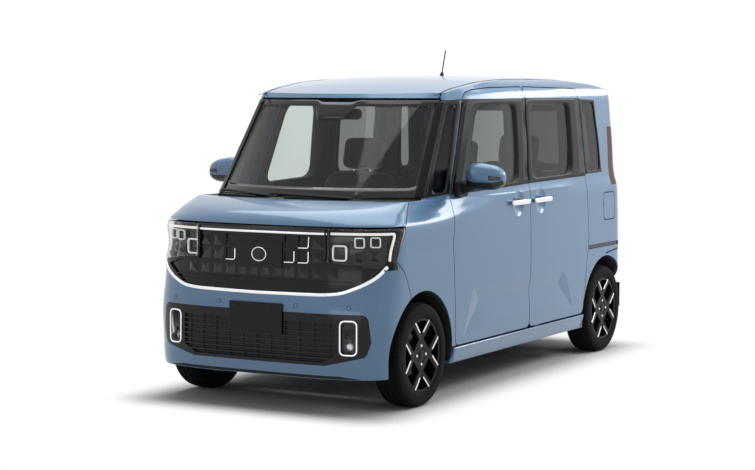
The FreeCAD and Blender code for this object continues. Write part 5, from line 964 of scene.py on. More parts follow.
@dataclass
class FrontBand:
    """Chrome lines, centre panel, slats and bumper fittings of the nose."""

    shop: Workshop
    top_line: float = 0.949
    lamp_edge: float = 0.406
    low_line: Corners = ((0.0, 0.627), (0.40, 0.632), (0.497, 0.641), (0.607, 0.686), (0.672, 0.730),
                         (0.708, 0.790))
    badge_middle: tuple = (-1.6600, 0.829)
    badge_half: tuple = (0.044, 0.036)
    pocket_half: float = 0.031
    pockets: Corners = ((-0.186, 0.824), (0.186, 0.824), (0.270, 0.902), (0.270, 0.824))
    slots: tuple = tuple(0.2885 + 0.027 * number for number in range(8))
    ribs: tuple = tuple(float(x) for x in np.linspace(-0.44, 0.44, 11))
    # low edge and half length of the black strip of painted shade under the bumper
    shade_strip_low: float = 0.1945
    shade_strip_half: float = 0.60
    sensors: tuple = (-0.556, -0.243, 0.243, 0.543)
    sensor_height: float = 0.569

    def strip(self, name: str, skin: Optional[Skin], line: Array, size: tuple[float, float], finish: str,
              lift: float = 0.001) -> None:
        """A strip of a width and rise on the nose skin along a line of (x, z)."""
        path, deeper = (nose_points(skin, line[:, 0], line[:, 1], level) for level in (lift, lift - 0.02))
        self.shop.tube(name, path, unit(path - deeper), pill(*size, min(size) * 0.45), finish)

    def lines(self, skin: Skin) -> None:
        """The chrome lines over and under the band, and the smoked strip."""
        edge = self.lamp_edge
        self.strip("chrome_line_top", None,
                   line_through(((-edge, self.top_line), (edge, self.top_line)), 60), (0.013, 0.008),
                   "bright_chrome", 0.0)
        full = [(-x, z) for x, z in reversed(self.low_line[1:])] + list(self.low_line)
        self.strip("chrome_line_low", skin, line_through(full, 160, 4), (0.019, 0.011), "bright_chrome")
        x = np.linspace(-edge + 0.004, edge - 0.004, 60)[:, None]
        self.shop.sheet("smoke_strip_front", nose_points(None, x, np.linspace(0.957, 0.979, 3)),
                        "smoke_strip", AHEAD)

    def badge(self) -> None:
        """A plain round boss on the centre panel, with a thin bright rim and nothing on it."""
        station, height = self.badge_middle
        oval = circle(64) * np.array(self.badge_half)
        self.shop.tube("badge_rim", xyz(oval[:, 0], station, height + oval[:, 1]), AHEAD,
                       pill(0.005, 0.006, 0.002), "bright_chrome", closed=True)
        x, z, rise = rings(oval - circle(64) * MILLI, (1.0, 0.97, 0.7, 0.35, 0.0),
                           (0.004, -0.0005, -0.0022, -0.003, -0.0032))
        self.shop.sheet("badge_disc", xyz(x, station - 0.0005 + rise, height + z), "black_gloss_trim",
                        AHEAD, wall=0.0, loop=True)

    def frames(self) -> None:
        """Chrome corner frames of the square pockets, standing on the sunk floor."""
        half = self.pocket_half
        for number, (x, z) in enumerate(self.pockets):
            corner = ((x - half, z - half), (x + half, z - half), (x + half, z + half))
            self.strip("pocket_frame_%d" % number, None, line_through(corner, 24, 2), (0.006, 0.009),
                       "bright_chrome", -0.0105)

    def intake(self) -> None:
        """The lower intake's fine bars and ribs, set back in the slots."""
        for number, z in enumerate(self.slots):
            half = float(np.interp(z, [0.279, 0.322, 0.5], [0.395, 0.470, 0.472]))
            self.strip("intake_bar_%d" % number, None, line_through(((-half, z), (half, z)), 60),
                       (0.003, 0.006), "black_gloss_trim", -0.007)
        for number, x in enumerate(self.ribs):
            low = float(np.interp(abs(x), [0.3, 0.400, 0.48], [0.281, 0.281, 0.325]))
            self.strip("intake_rib_%d" % number, None, line_through(((x, low), (x, 0.500)), 10),
                       (0.0035, 0.006), "black_gloss_trim", -0.0065)

    def fittings(self, skin: Skin) -> None:
        """A black strip of painted shade along the bumper's bottom edge, thin at both ends, and four round
        parking sensors.
        """
        # painted shade: a black strip stands in for the dark, shaded underside of the bumper's edge
        x = np.linspace(-self.shade_strip_half, self.shade_strip_half, 60)[:, None]
        top = 0.196 + 0.013 * np.clip((self.shade_strip_half - np.abs(x)) / 0.10, 0, 1)
        z = self.shade_strip_low + (top - self.shade_strip_low) * np.linspace(0, 1, 4)
        self.shop.sheet("bumper_shade_strip", nose_points(skin, x, z, 0.0012), "black_matte_trim", AHEAD,
                        wall=0.001)
        for number, x in enumerate(self.sensors):
            middle = (x, self.sensor_height)
            grid = skin_rings(skin, middle, circle(20), (0.0105, 0.0095, 0.0075, 0.0),
                              (0.0, 0.0015, 0.0018, 0.0008))
            self.shop.sheet("park_sensor_%d" % number, grid, "ice_blue_paint", AHEAD, wall=0.0, loop=True)
            gap = skin_rings(skin, middle, circle(20), (0.0115,), (0.0,))[0]
            self.shop.tube("park_sensor_gap_%d" % number, gap, AHEAD, pill(0.002, 0.002, 0.0009, 3),
                           "black_matte_trim", closed=True)

    def build(self) -> None:
        """Make the whole band."""
        skin = Skin("grilles", "front_bumper")
        self.lines(skin)
        self.badge()
        self.frames()
        self.intake()
        self.fittings(skin)
        self.shop.dress("facet_black", "grilles")


@dataclass
class FrontLamps:
    """Head lamps with cover, bowl, light guide and projectors, and the upright fog lamps."""

    shop: Workshop
    inner: float = 0.4105
    top: float = 0.9755
    low: float = 0.800
    edge_gap: float = 0.004
    lens_low: tuple = ((409, 801), (560, 787), (700, 763), (740, 763))
    outer_edge: tuple = ((763, -1441), (806, -1460), (978, -1383))
    depth: float = 0.055
    guide_height: float = 0.950
    guide_ends: tuple = (-1.462, -1.500)
    beams: tuple = (("main_beam", 0.470, 0.848, 0.076), ("high_beam", 0.576, 0.904, 0.050),
                    ("corner_beam", 0.655, 0.906, 0.050))
    square: tuple = ((-1, -1), (1, -1), (1, 1), (-1, 1))
    pyramid: tuple = ((0, 1, 4), (1, 2, 4), (2, 3, 4), (3, 0, 4), (3, 2, 1, 0))
    fog_middle: tuple = (0.5445, 0.4125)
    fog_way: tuple = (0.25, -1.0, 0.0)

    def patch(self, skin: Skin, rows: int, columns: int, inset: float, sink: float) -> Array:
        """Grid over the lamp opening: rows of height, columns from the inner to the outer edge.

        The lower edge's height depends on the width, so the second pass uses the widths of the first.

        Args:
            skin: skin that it follows.
            rows: points upwards.
            columns: points outwards.
            inset: how far inside the opening it ends.
            sink: how far behind the skin it lies.

        Returns:
            The grid.
        """
        out, up = np.linspace(0, 1, columns), np.linspace(0, 1, rows)[:, None]
        top, low = self.top - inset, self.low
        for _ in range(2):
            z = low + (top - low) * up + np.zeros(columns)
            first = FORM.nose_turn(self.inner + inset, z)
            last = FORM.nose_turn_along(across(self.outer_edge, z) - self.edge_gap - inset, z)
            turn = first + (last - first) * out
            low = across(self.lens_low, FORM.nose_at(turn, z)[..., 0]) + inset
        return nose_lifted(skin, turn, z, 1.0, -sink)

    def spot(self, skin: Skin, x: float, z: float, sink: float) -> tuple[Array, Array]:
        """A point behind the cover and the way out of it."""
        inner, outer = nose_points(skin, x, z, -sink), nose_points(skin, x, z)
        return inner, unit(outer - inner)

    def beam(self, name: str, skin: Skin, x: float, z: float, size: float, side: Side) -> None:
        """A projector: a bright square frame round a dark bowl with a lens."""
        centre, way = self.spot(skin, x, z, 0.030)
        facing = unit(way * np.array([0.55, 1.0, 1.0]))
        level, upward = facing_axes(facing)
        outline = pill(size, size, size * 0.18, 5)
        loop = centre + outline[:, :1] * level + outline[:, 1:] * upward
        self.shop.tube(name + "_frame", loop, facing, pill(size * 0.12, 0.012, 0.002), "lamp_frame",
                       side=side, closed=True)
        a, b, depth = rings(outline, (1.0, 0.8, 0.55, 0.3, 0.0), (0.0, 0.012, 0.012, 0.002, -0.004))
        bowl = centre + a[..., None] * level + b[..., None] * upward - facing * depth[..., None]
        self.shop.sheet(name + "_bowl", bowl, "lamp_bowl", facing, side=side, wall=0.0, loop=True, crisp=50)

    def facets(self, name: str, skin: Skin, spots: Corners, half: Sequence[float],
               sinks: tuple[float, float], finish: str, side: Side) -> None:
        """Four-sided pyramids behind the skin as one piece, with the sinks of foot and peak."""
        corner = np.array(self.square) * np.array(half)
        points = []
        for x, z in spots:
            points.append(nose_points(skin, x + corner[:, 0], z + corner[:, 1], -sinks[0]))
            points.append(nose_points(skin, [x], [z], -sinks[1]))
        faces = [[5 * number + index for index in face] for number in range(len(spots))
                 for face in self.pyramid]
        if side is Side.RIGHT:
            faces = [face[::-1] for face in faces]
        self.shop.piece(name, np.concatenate(points), faces, finish, side=side, smooth=False)

    def guide(self, skin: Skin, side: Side) -> None:
        """The light guide along the lamp's upper edge and down its outer edge."""
        height = self.guide_height
        tip = float(FORM.nose_turn_along(self.guide_ends[0], height))
        foot = float(FORM.nose_turn_along(self.guide_ends[1], self.low))
        turns = np.linspace(float(FORM.nose_turn(0.418, height)), tip, 60)
        drop = np.linspace(height, self.low, 30)[1:]
        line = np.concatenate([np.stack([turns, np.full(60, height)], -1),
                               np.stack([np.interp(drop, [self.low, height], [foot, tip]), drop], -1)])
        turn, z = line_through(line, 90, 3).T
        path, deeper = (nose_lifted(skin, turn, z, 1.0, lift) for lift in (-0.014, -0.03))
        self.shop.tube("light_guide", path, unit(path - deeper), pill(0.013, 0.009, 0.003), "light_guide",
                       side=side)

    def head_lamp(self, skin: Skin, side: Side) -> None:
        """One head lamp."""
        way = (0.5, -1, 0)
        lens = self.shop.sheet("head_lamp_cover", self.patch(skin, 14, 34, 0.0, 0.0), "lamp_cover", way,
                               side=side, wall=0.003, crisp=None)
        if side is Side.LEFT:
            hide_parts("front_lamps")
        bowl, rim = (self.patch(skin, 10, 30, 0.001, sink) for sink in (self.depth, 0.004))
        back = np.concatenate([rim[:1], bowl, rim[-1:]])
        left, right = (np.concatenate([edge[:1], edge, edge[-1:]]) for edge in (rim[:, :1], rim[:, -1:]))
        self.shop.sheet("head_lamp_bowl", np.concatenate([left, back, right], 1), "black_gloss_trim", way,
                        side=side, wall=0.002, crisp=40)
        self.guide(skin, side)
        for name, x, z, size in self.beams:
            self.beam(name, skin, x, z, size, side)
        self.facets("lamp_facets", skin, ((0.575, 0.831), (0.652, 0.831)), (0.024, 0.024), (0.040, 0.018),
                    "lamp_bowl", side)

    def fog_lamp(self, skin: Skin, side: Side) -> None:
        """One upright fog lamp in its chrome ring."""
        outline = pill(0.086, 0.178, 0.024, 7)
        ring = skin_rings(skin, self.fog_middle, outline, (1.0,), (0.003,))[0]
        self.shop.tube("fog_ring", ring, unit(np.array(self.fog_way)), pill(0.009, 0.012, 0.003),
                       "bright_chrome", side=side, closed=True)
        bowl = skin_rings(skin, self.fog_middle, outline, (0.97, 0.93, 0.90, 0.0),
                          (-0.001, -0.022, -0.030, -0.034))
        self.shop.sheet("fog_bowl", bowl, "black_gloss_trim", self.fog_way, side=side, wall=0.0, loop=True)
        cover = skin_rings(skin, self.fog_middle, outline, (0.93, 0.5, 0.0), (0.001, 0.001, 0.001))
        self.shop.sheet("fog_cover", cover, "lamp_cover", self.fog_way, side=side, wall=0.002, loop=True,
                        crisp=None)
        lamp, facing = self.spot(skin, self.fog_middle[0], 0.362, 0.024)
        level, upward = facing_axes(facing)
        a, b, rise = rings(circle(28), (0.027, 0.024, 0.022, 0.015, 0.0),
                           (0.004, 0.008, -0.004, 0.006, 0.010))
        lens = lamp + a[..., None] * level + b[..., None] * upward + facing * rise[..., None]
        self.shop.sheet("fog_lens", lens, "reflector_silver", facing, side=side, wall=0.0, loop=True)
        self.facets("fog_facet", skin, ((self.fog_middle[0], 0.432),), (0.028, 0.026), (0.026, 0.010),
                    "facet_black", side)

    def build(self) -> None:
        """Make both lamps of each kind."""
        skin, low_skin = Skin("front_lamps"), Skin("front_lamps", "grilles")
        for side in Side:
            self.head_lamp(skin, side)
            self.fog_lamp(low_skin, side)


@dataclass
class Tyres:
    """Tyres as surfaces of revolution with tread grooves cut by angle."""

    shop: Workshop
    radius: float = 0.281
    tread_half: float = 0.0715
    tread_points: int = 57
    crown_drop: float = 0.0085
    groove: float = 0.0062
    channels: tuple = (-0.046, -0.016, 0.016, 0.046)
    cut_bands: tuple = ((1.0, 0.060, 0.016), (0.6, 0.031, 0.009))
    steps: int = 300
    blocks: int = 66
    slant: float = 90.0
    wall_r: tuple = (0.1990, 0.2005, 0.2060, 0.2100, 0.2120, 0.2200, 0.2330, 0.2460, 0.2560, 0.2640, 0.2700)
    wall_x: tuple = (0.0700, 0.0745, 0.0775, 0.0785, 0.0800, 0.0820, 0.0825, 0.0818, 0.0802, 0.0775, 0.0745)
    bead: tuple = (0.069, 0.1915)

    def section(self) -> tuple[Array, Array, Array]:
        """Section from the inner bead over the tread to the outer bead.

        Returns:
            Axial places, radii and tread share of each point.
        """
        wall_x, wall_r = np.array(self.wall_x), np.array(self.wall_r)
        tread_x = np.linspace(-self.tread_half, self.tread_half, self.tread_points)
        crown = self.radius - self.crown_drop * np.abs(tread_x / self.tread_half) ** 4
        plain = np.zeros(len(wall_x))
        return (np.concatenate([-wall_x, tread_x, wall_x[::-1]]),
                np.concatenate([wall_r, crown, wall_r[::-1]]),
                np.concatenate([plain, np.ones(self.tread_points), plain]))

    def build(self) -> None:
        """Make the four tyres: the radius is the section's less the depth of channels and slanted cuts."""
        x, r, tread = self.section()
        angle = np.linspace(0, 2 * math.pi, self.steps, endpoint=False)[:, None]
        channel = sum(np.exp(-((x - at) / 0.0035) ** 4) for at in self.channels) * tread
        cut = 1 / (1 + np.exp(-18 * (np.cos(angle * self.blocks + np.abs(x) * self.slant) - 0.82)))
        shoulder = sum(weight * np.exp(-((np.abs(x) - at) / width) ** 4)
                       for weight, at, width in self.cut_bands)
        radius = r - self.groove * np.clip(channel + 0.8 * cut * shoulder * tread, 0, 1)
        bead_x, bead_r = self.bead
        radius = np.concatenate([radius, np.full((self.steps, 2), bead_r)], 1)
        local = xyz(np.concatenate([x, [bead_x, -bead_x]]), radius * np.cos(angle), radius * np.sin(angle))
        faces = quads(local.shape[0], local.shape[1], wrap_rows=True, wrap_columns=True)
        for word in WHEEL_WORDS:
            centre = np.mean(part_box("tyre_" + word), 0)
            tyre = self.shop.closed("tread_tyre_" + word, local + centre, faces, "tyre_rubber",
                                    "wheel_" + word)
            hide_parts("tyre_" + word)


@dataclass
class Wheels:
    """Raised crossed bars with machined strips, lug nuts and plain centre caps on the black alloys."""

    shop: Workshop
    offset: float = 0.0707
    reach: float = 0.1965
    foot: float = 0.045
    flat: float = 0.0700
    rise: float = 0.0058
    rise_from: float = 0.060
    rise_over: float = 0.095
    strip_start: float = 0.54
    bar: tuple = ((-0.0300, -1.0), (-0.0285, -0.0050), (-0.0260, 0.0), (-0.0090, 0.0006), (0.0072, 0.0),
                  (0.0086, -0.0040), (0.0100, -1.0))
    strip: tuple = ((-0.0032, -0.0010), (-0.0024, 0.0012), (0.0066, 0.0014), (0.0074, -0.0006))
    plate: tuple = ((0.0450, 1.0), (0.0665, 1.0), (0.0682, 0.97))
    cap: tuple = ((0.0250, 0.0250, 0.0230, 0.018, 0.0), (0.060, 0.0700, 0.0718, 0.0722, 0.0723))
    nut: tuple = ((0.0090, 0.0090, 0.0074, 0.004, 0.0), (0.060, 0.0715, 0.0745, 0.0752, 0.0753))
    nut_circle: float = 0.050

    def beam(self, section: Corners, start: float, turn: float, steps: int, far: int = 1) -> Array:
        """Carry a section along a bar: the ends follow a circle round the wheel's middle.

        The face is level near the middle and then rises straight up to the rim lip.

        Args:
            section: pairs of place across the bar and height over its face, -1 for the foot.
            start: where it begins, as a share of its reach, -1 to 1.
            turn: angle of the bar.
            steps: points along it.
            far: -1 for the other end of the bar.

        Returns:
            Grid of points round the middle, along by across.
        """
        across_bar, height = np.asarray(section, float).T
        beside = self.offset + across_bar
        along = far * np.linspace(start, 1, steps)[::far, None] * np.sqrt(self.reach ** 2 - beside ** 2)
        share = np.clip((np.abs(along) - self.rise_from) / self.rise_over, 0, 1)
        face = self.flat + self.rise * share + height
        way = (math.cos(turn), math.sin(turn))
        return xyz(np.where(height < -0.5, self.foot, face), along * way[0] - beside * way[1],
                   along * way[1] + beside * way[0])

    def solid(self, name: str, grids: Sequence[Array], finish: str, body: str) -> None:
        """Close grids of one kind with their end faces and join them as one piece."""
        rows, columns = grids[0].shape[:2]
        faces = [[number * rows * columns + index for index in face]
                 for number in range(len(grids)) for face in capped(rows, columns)]
        self.shop.closed(name, np.stack(grids), faces, finish, body, crisp=28)

    def turned(self, profile: tuple, steps: int, middle: tuple[float, float] = (0.0, 0.0)) -> Array:
        """A surface of radii and places turned about an axis line through a middle."""
        r, x = (np.array(row) for row in profile)
        round_ = circle(steps)
        return xyz(x, middle[0] + r * round_[:, :1], middle[1] + r * round_[:, 1:])

    def build(self) -> None:
        """Dress the four wheels."""
        angles = [math.pi / 4 + number * RIGHT_ANGLE for number in range(4)]
        bars = [self.beam(self.bar, -1.0, angle, 41) for angle in angles]
        strips = [self.beam(self.strip, self.strip_start, angle, 9, far) for far in (1, -1)
                  for angle in angles]
        square = pill(0.0860, 0.0860, 0.006) @ (np.array([[1.0, 1.0], [-1.0, 1.0]]) * math.sqrt(0.5))
        y, z, level = rings(square, [share for _, share in self.plate], [place for place, _ in self.plate])
        cap = self.turned(self.cap, 40)
        spots = self.nut_circle * circle(4)
        for word in WHEEL_WORDS:
            centre, body = np.mean(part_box("tyre_" + word), 0), "wheel_" + word
            sign = 1.0 if word.endswith("left") else -1.0
            turn = np.array([sign, sign, 1.0])
            self.solid("alloy_bars_" + word, [grid * turn + centre for grid in bars], "alloy_black", body)
            self.solid("alloy_strips_" + word, [grid * turn + centre for grid in strips], "alloy_cut", body)
            self.solid("alloy_hub_" + word, [xyz(level, y, z) * turn + centre], "alloy_black", body)
            self.shop.piece("wheel_cap_" + word, cap * turn + centre, quads(40, 5, wrap_rows=True),
                            "alloy_black", body, wall=0.001)
            for number, spot in enumerate(spots):
                self.shop.piece("lug_nut_%s_%d" % (word, number),
                                self.turned(self.nut, 6, spot) * turn + centre, quads(6, 5, wrap_rows=True),
                                "reflector_silver", body, smooth=False, wall=0.001)
            self.shop.dress("alloy_black", body)


@dataclass
class DoorHandles:
    """Bright covers over the CAD pull handles."""

    shop: Workshop
    height: float = 1.041
    bar_middle: float = 0.019
    half_length: float = 0.1218
    steps: int = 33

    def handle(self, name: str, middle: float, side: Side, body: str) -> None:
        """A cover round one handle bar at a station, swollen in the middle and drawn in at both ends."""
        share = np.linspace(-1, 1, self.steps)[:, None]
        up, out = pill(0.0275, 0.0172, 0.0068, 5).T
        swell = 1 + 0.10 * (1 - share ** 2) - 0.55 * np.abs(share) ** 40
        skin = float(FORM.half(middle, self.height))
        grid = xyz(skin + self.bar_middle + out * swell, middle + self.half_length * share,
                   self.height + up * swell)
        self.shop.closed(name, grid, capped(self.steps, len(up)), "bright_chrome", body, side, 50)

    def build(self) -> None:
        """Make the four covers."""
        for side in Side:
            self.handle("handle_front", 0.0, side, side.door)
            self.handle("handle_slide", 0.309, side, SHELL)


@dataclass
class Mirrors:
    """Rounded mirror heads with lamp strip, black lower shell, glass and foot."""

    shop: Workshop
    middle: tuple = (0.8600, -0.6900, 1.2200)
    half: tuple = (0.1130, 0.0560, 0.0760)
    fold: float = 2.5
    end_power: float = 3.4
    stations: int = 45
    turns: int = 72

    def pod(self, turn: Array, grow: float = 0.0) -> Array:
        """Head surface: sections of a superellipse in y and z along x, drawn in to both ends.

        The size of a section is (1 - |u|^p)^(1/p) with a high p, and its height falls towards the tip.

        Args:
            turn: angles round a section.
            grow: how far outside the head it lies.

        Returns:
            Grid of stations by angles.
        """
        u = np.sin(np.linspace(-RIGHT_ANGLE, RIGHT_ANGLE, self.stations))[:, None]
        size = (1 - np.clip(np.abs(u), 0, 1) ** self.end_power) ** (1 / self.end_power)
        height = np.interp(u, [-1, -0.3, 0.5, 1], [0.97, 1.0, 0.88, 0.72])
        y = -power(np.cos(turn), 2 / self.fold)
        z = power(np.sin(turn), 2 / self.fold)
        depth = np.where(y < 0, self.half[1] * (1 - 0.16 * u), self.half[1])
        return xyz(self.middle[0] + (self.half[0] + grow) * u, self.middle[1] + (depth * size + grow) * y,
                   self.middle[2] + (self.half[2] * height * size + grow) * z - 0.006 * u)

    def head(self, side: Side) -> None:
        """The painted head, its black lower shell and its lamp strip."""
        full = np.linspace(0, 2 * math.pi, self.turns, endpoint=False)
        head = self.shop.closed("mirror_head", self.pod(full),
                                quads(self.stations, self.turns, wrap_columns=True), "ice_blue_paint",
                                side.door, side, welded=True)
        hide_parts("mirror_" + side.word)
        shell = self.pod(np.linspace(1.22 * math.pi, 1.90 * math.pi, 30), 0.0012)[2:-2]
        self.shop.sheet("mirror_shell", shell, "black_gloss_trim", DOWN, side.door, side, 0.0008,
                        crisp=None)
        lamp = self.pod(np.linspace(-0.13, 0.12, 5), 0.0016)[27:-6]
        self.shop.sheet("mirror_lamp", lamp, "smoke_strip", AHEAD, side.door, side, 0.001, crisp=None)

    def build(self) -> None:
        """Make both mirrors."""
        x0, y0, z0 = self.middle
        outline = pill(0.176, 0.116, 0.036, 8)
        outline[:, 1] *= np.interp(outline[:, 0], [-0.088, 0.088], [1.0, 0.82])
        x, z, lift = rings(outline, (1.0, 0.985, 0.96, 0.5, 0.0), (-0.004, 0.0005, 0.0, 0.0, 0.0))
        glass = xyz(x0 + x, y0 + self.half[1] + lift, z0 + z)
        z, y, reach = rings(pill(0.052, 0.044, 0.012, 5), (1.25, 1.0, 0.95, 0.9),
                            (0.700, 0.735, 0.770, 0.800))
        foot = xyz(reach, y0 - 0.004 + y, z0 + np.array([-0.074, -0.066, -0.056, -0.046])[:, None] + z)
        y, z, reach = rings(pill(0.118, 0.090, 0.016, 5), (1.0, 1.0, 0.96, 0.0),
                            (0.700, 0.7235, 0.7265, 0.7265))
        base = xyz(reach, -0.700 + y, 1.150 + z)
        for side in Side:
            self.head(side)
            self.shop.sheet("mirror_glass", glass, "mirror_silver", BACK, side.door, side, 0.0, loop=True)
            item = self.shop.sheet("mirror_foot", foot, "black_matte_trim", None, side.door, side, 0.002,
                                   loop=True)
            self.shop.sheet("mirror_base", base, "black_matte_trim", OUT, side.door, side, 0.0, loop=True)


@dataclass
class Seats:
    """Cushions, backs and head restraints as crowned forms with sewn channels."""

    shop: Workshop
    rake: float = math.radians(14)
    tall: float = 0.72
    front_x: float = 0.318
    bench_heads: float = 0.28
    front_row: tuple = (-0.64, 0.42)
    bench: tuple = (0.31, 0.43)
    rows: int = 41
    columns: int = 80

    def pad(self, name: str, size: Sequence[float], channels: Sequence[float], rake: float,
            origin: Sequence[float], pivot: Sequence[float], thin: int) -> bpy.types.Object:
        """A rounded pad whose broad face is crowned and sewn along channels.

        Args:
            name: name of the piece.
            size: extents along x, y and z before it is raked.
            channels: shares of the half width at which seams run.
            rake: lean backwards in radians.
            origin: middle of the pad before the rake, relative to the pivot.
            pivot: point that the rake turns about.
            thin: index of the axis through its thickness.

        Returns:
            The object.
        """
        tilt = np.linspace(-RIGHT_ANGLE, RIGHT_ANGLE, self.rows)[:, None]
        turn = np.linspace(0, 2 * math.pi, self.columns, endpoint=False)
        broad = [power(part, 0.35) * power(np.cos(tilt), 0.45) for part in (np.cos(turn), np.sin(turn))]
        seam = sum(np.exp(-((broad[0] - at) / 0.035) ** 2) for at in channels)
        edge = np.exp(-((np.hypot(*broad) - 0.98) / 0.05) ** 2)
        broad.insert(thin, power(np.sin(tilt), 0.55) * (1 - 0.16 * seam - 0.05 * edge))
        x, y, z = np.moveaxis(xyz(*broad) * np.asarray(size) / 2 + np.asarray(origin), -1, 0)
        c, s = math.cos(rake), math.sin(rake)
        item = self.shop.closed(name, xyz(x, y * c + z * s, z * c - y * s) + np.asarray(pivot),
                                quads(self.rows, self.columns, wrap_columns=True), "seat_cloth",
                                welded=True)
        return item

    def pivot(self, x: float, row: tuple[float, float]) -> tuple[float, float, float]:
        """Point that a back turns about, over the rear edge of a cushion."""
        return x, row[0] + 0.50, row[1] + 0.065

    def seat(self, name: str, x: float, width: float, row: tuple[float, float],
             channels: Sequence[float]) -> bpy.types.Object:
        """A cushion and a back, in a row given by its front edge and base height; returns the cushion."""
        cushion = self.pad(name + "_cushion", (width, 0.50, 0.17), channels, 0.0, (0, 0, 0),
                           (x, row[0] + 0.25, row[1] + 0.083), 2)
        self.pad(name + "_back", (width, 0.135, self.tall), channels, self.rake, (0, -0.06, self.tall / 2),
                 self.pivot(x, row), 1)
        return cushion

    def head(self, name: str, x: float, row: tuple[float, float]) -> bpy.types.Object:
        """One head restraint with its two steel posts over a seat back."""
        pivot = self.pivot(x, row)
        item = self.pad(name + "_head", (0.26, 0.105, 0.19), (), self.rake, (0, -0.060, self.tall + 0.112),
                        pivot, 1)
        c, s = math.cos(self.rake), math.sin(self.rake)
        along = np.linspace(self.tall - 0.03, self.tall + 0.06, 8)
        for number, aside in enumerate((-0.055, 0.055)):
            path = xyz(aside, -0.055 * c + along * s, 0.055 * s + along * c) + np.asarray(pivot)
            self.shop.tube("%s_post_%d" % (name, number), path, BACK, pill(0.012, 0.012, 0.0058),
                           "bright_chrome")
        return item

    def base(self, name: str, x: float, width: float, ends: tuple[float, float], top: float) -> None:
        """The covered frame under a cushion, drawn in towards the floor."""
        a, b, level = rings(pill(width, ends[1] - ends[0], 0.03, 5), (0.96, 1.0, 0.92, 1.0),
                            (0.227, 0.25, 0.34, top + 0.02))
        self.shop.sheet(name, xyz(x + a, sum(ends) / 2 + b, level), "dash_grain", wall=0.004, loop=True)

    def build(self) -> None:
        """Make every seat."""
        for side in Side:
            name, x = titled("seat_front", side), side.sign * self.front_x
            self.seat(name, x, 0.49, self.front_row, (-0.45, 0.45))
            self.head(name, x, self.front_row)
        self.seat("seat_rear", 0.0, 1.12, self.bench, (-0.66, -0.33, 0.0, 0.33, 0.66))
        heads = [self.head(titled("seat_rear", side), side.sign * self.bench_heads, self.bench)
                 for side in Side]
        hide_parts("front_seats")
        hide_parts("rear_seat")
        for side in Side:
            self.base(titled("seat_base", side), side.sign * self.front_x, 0.39, (-0.59, -0.19),
                      self.front_row[1])
        self.base("seat_base_rear", 0.0, 0.90, (0.36, 0.76), self.bench[1])


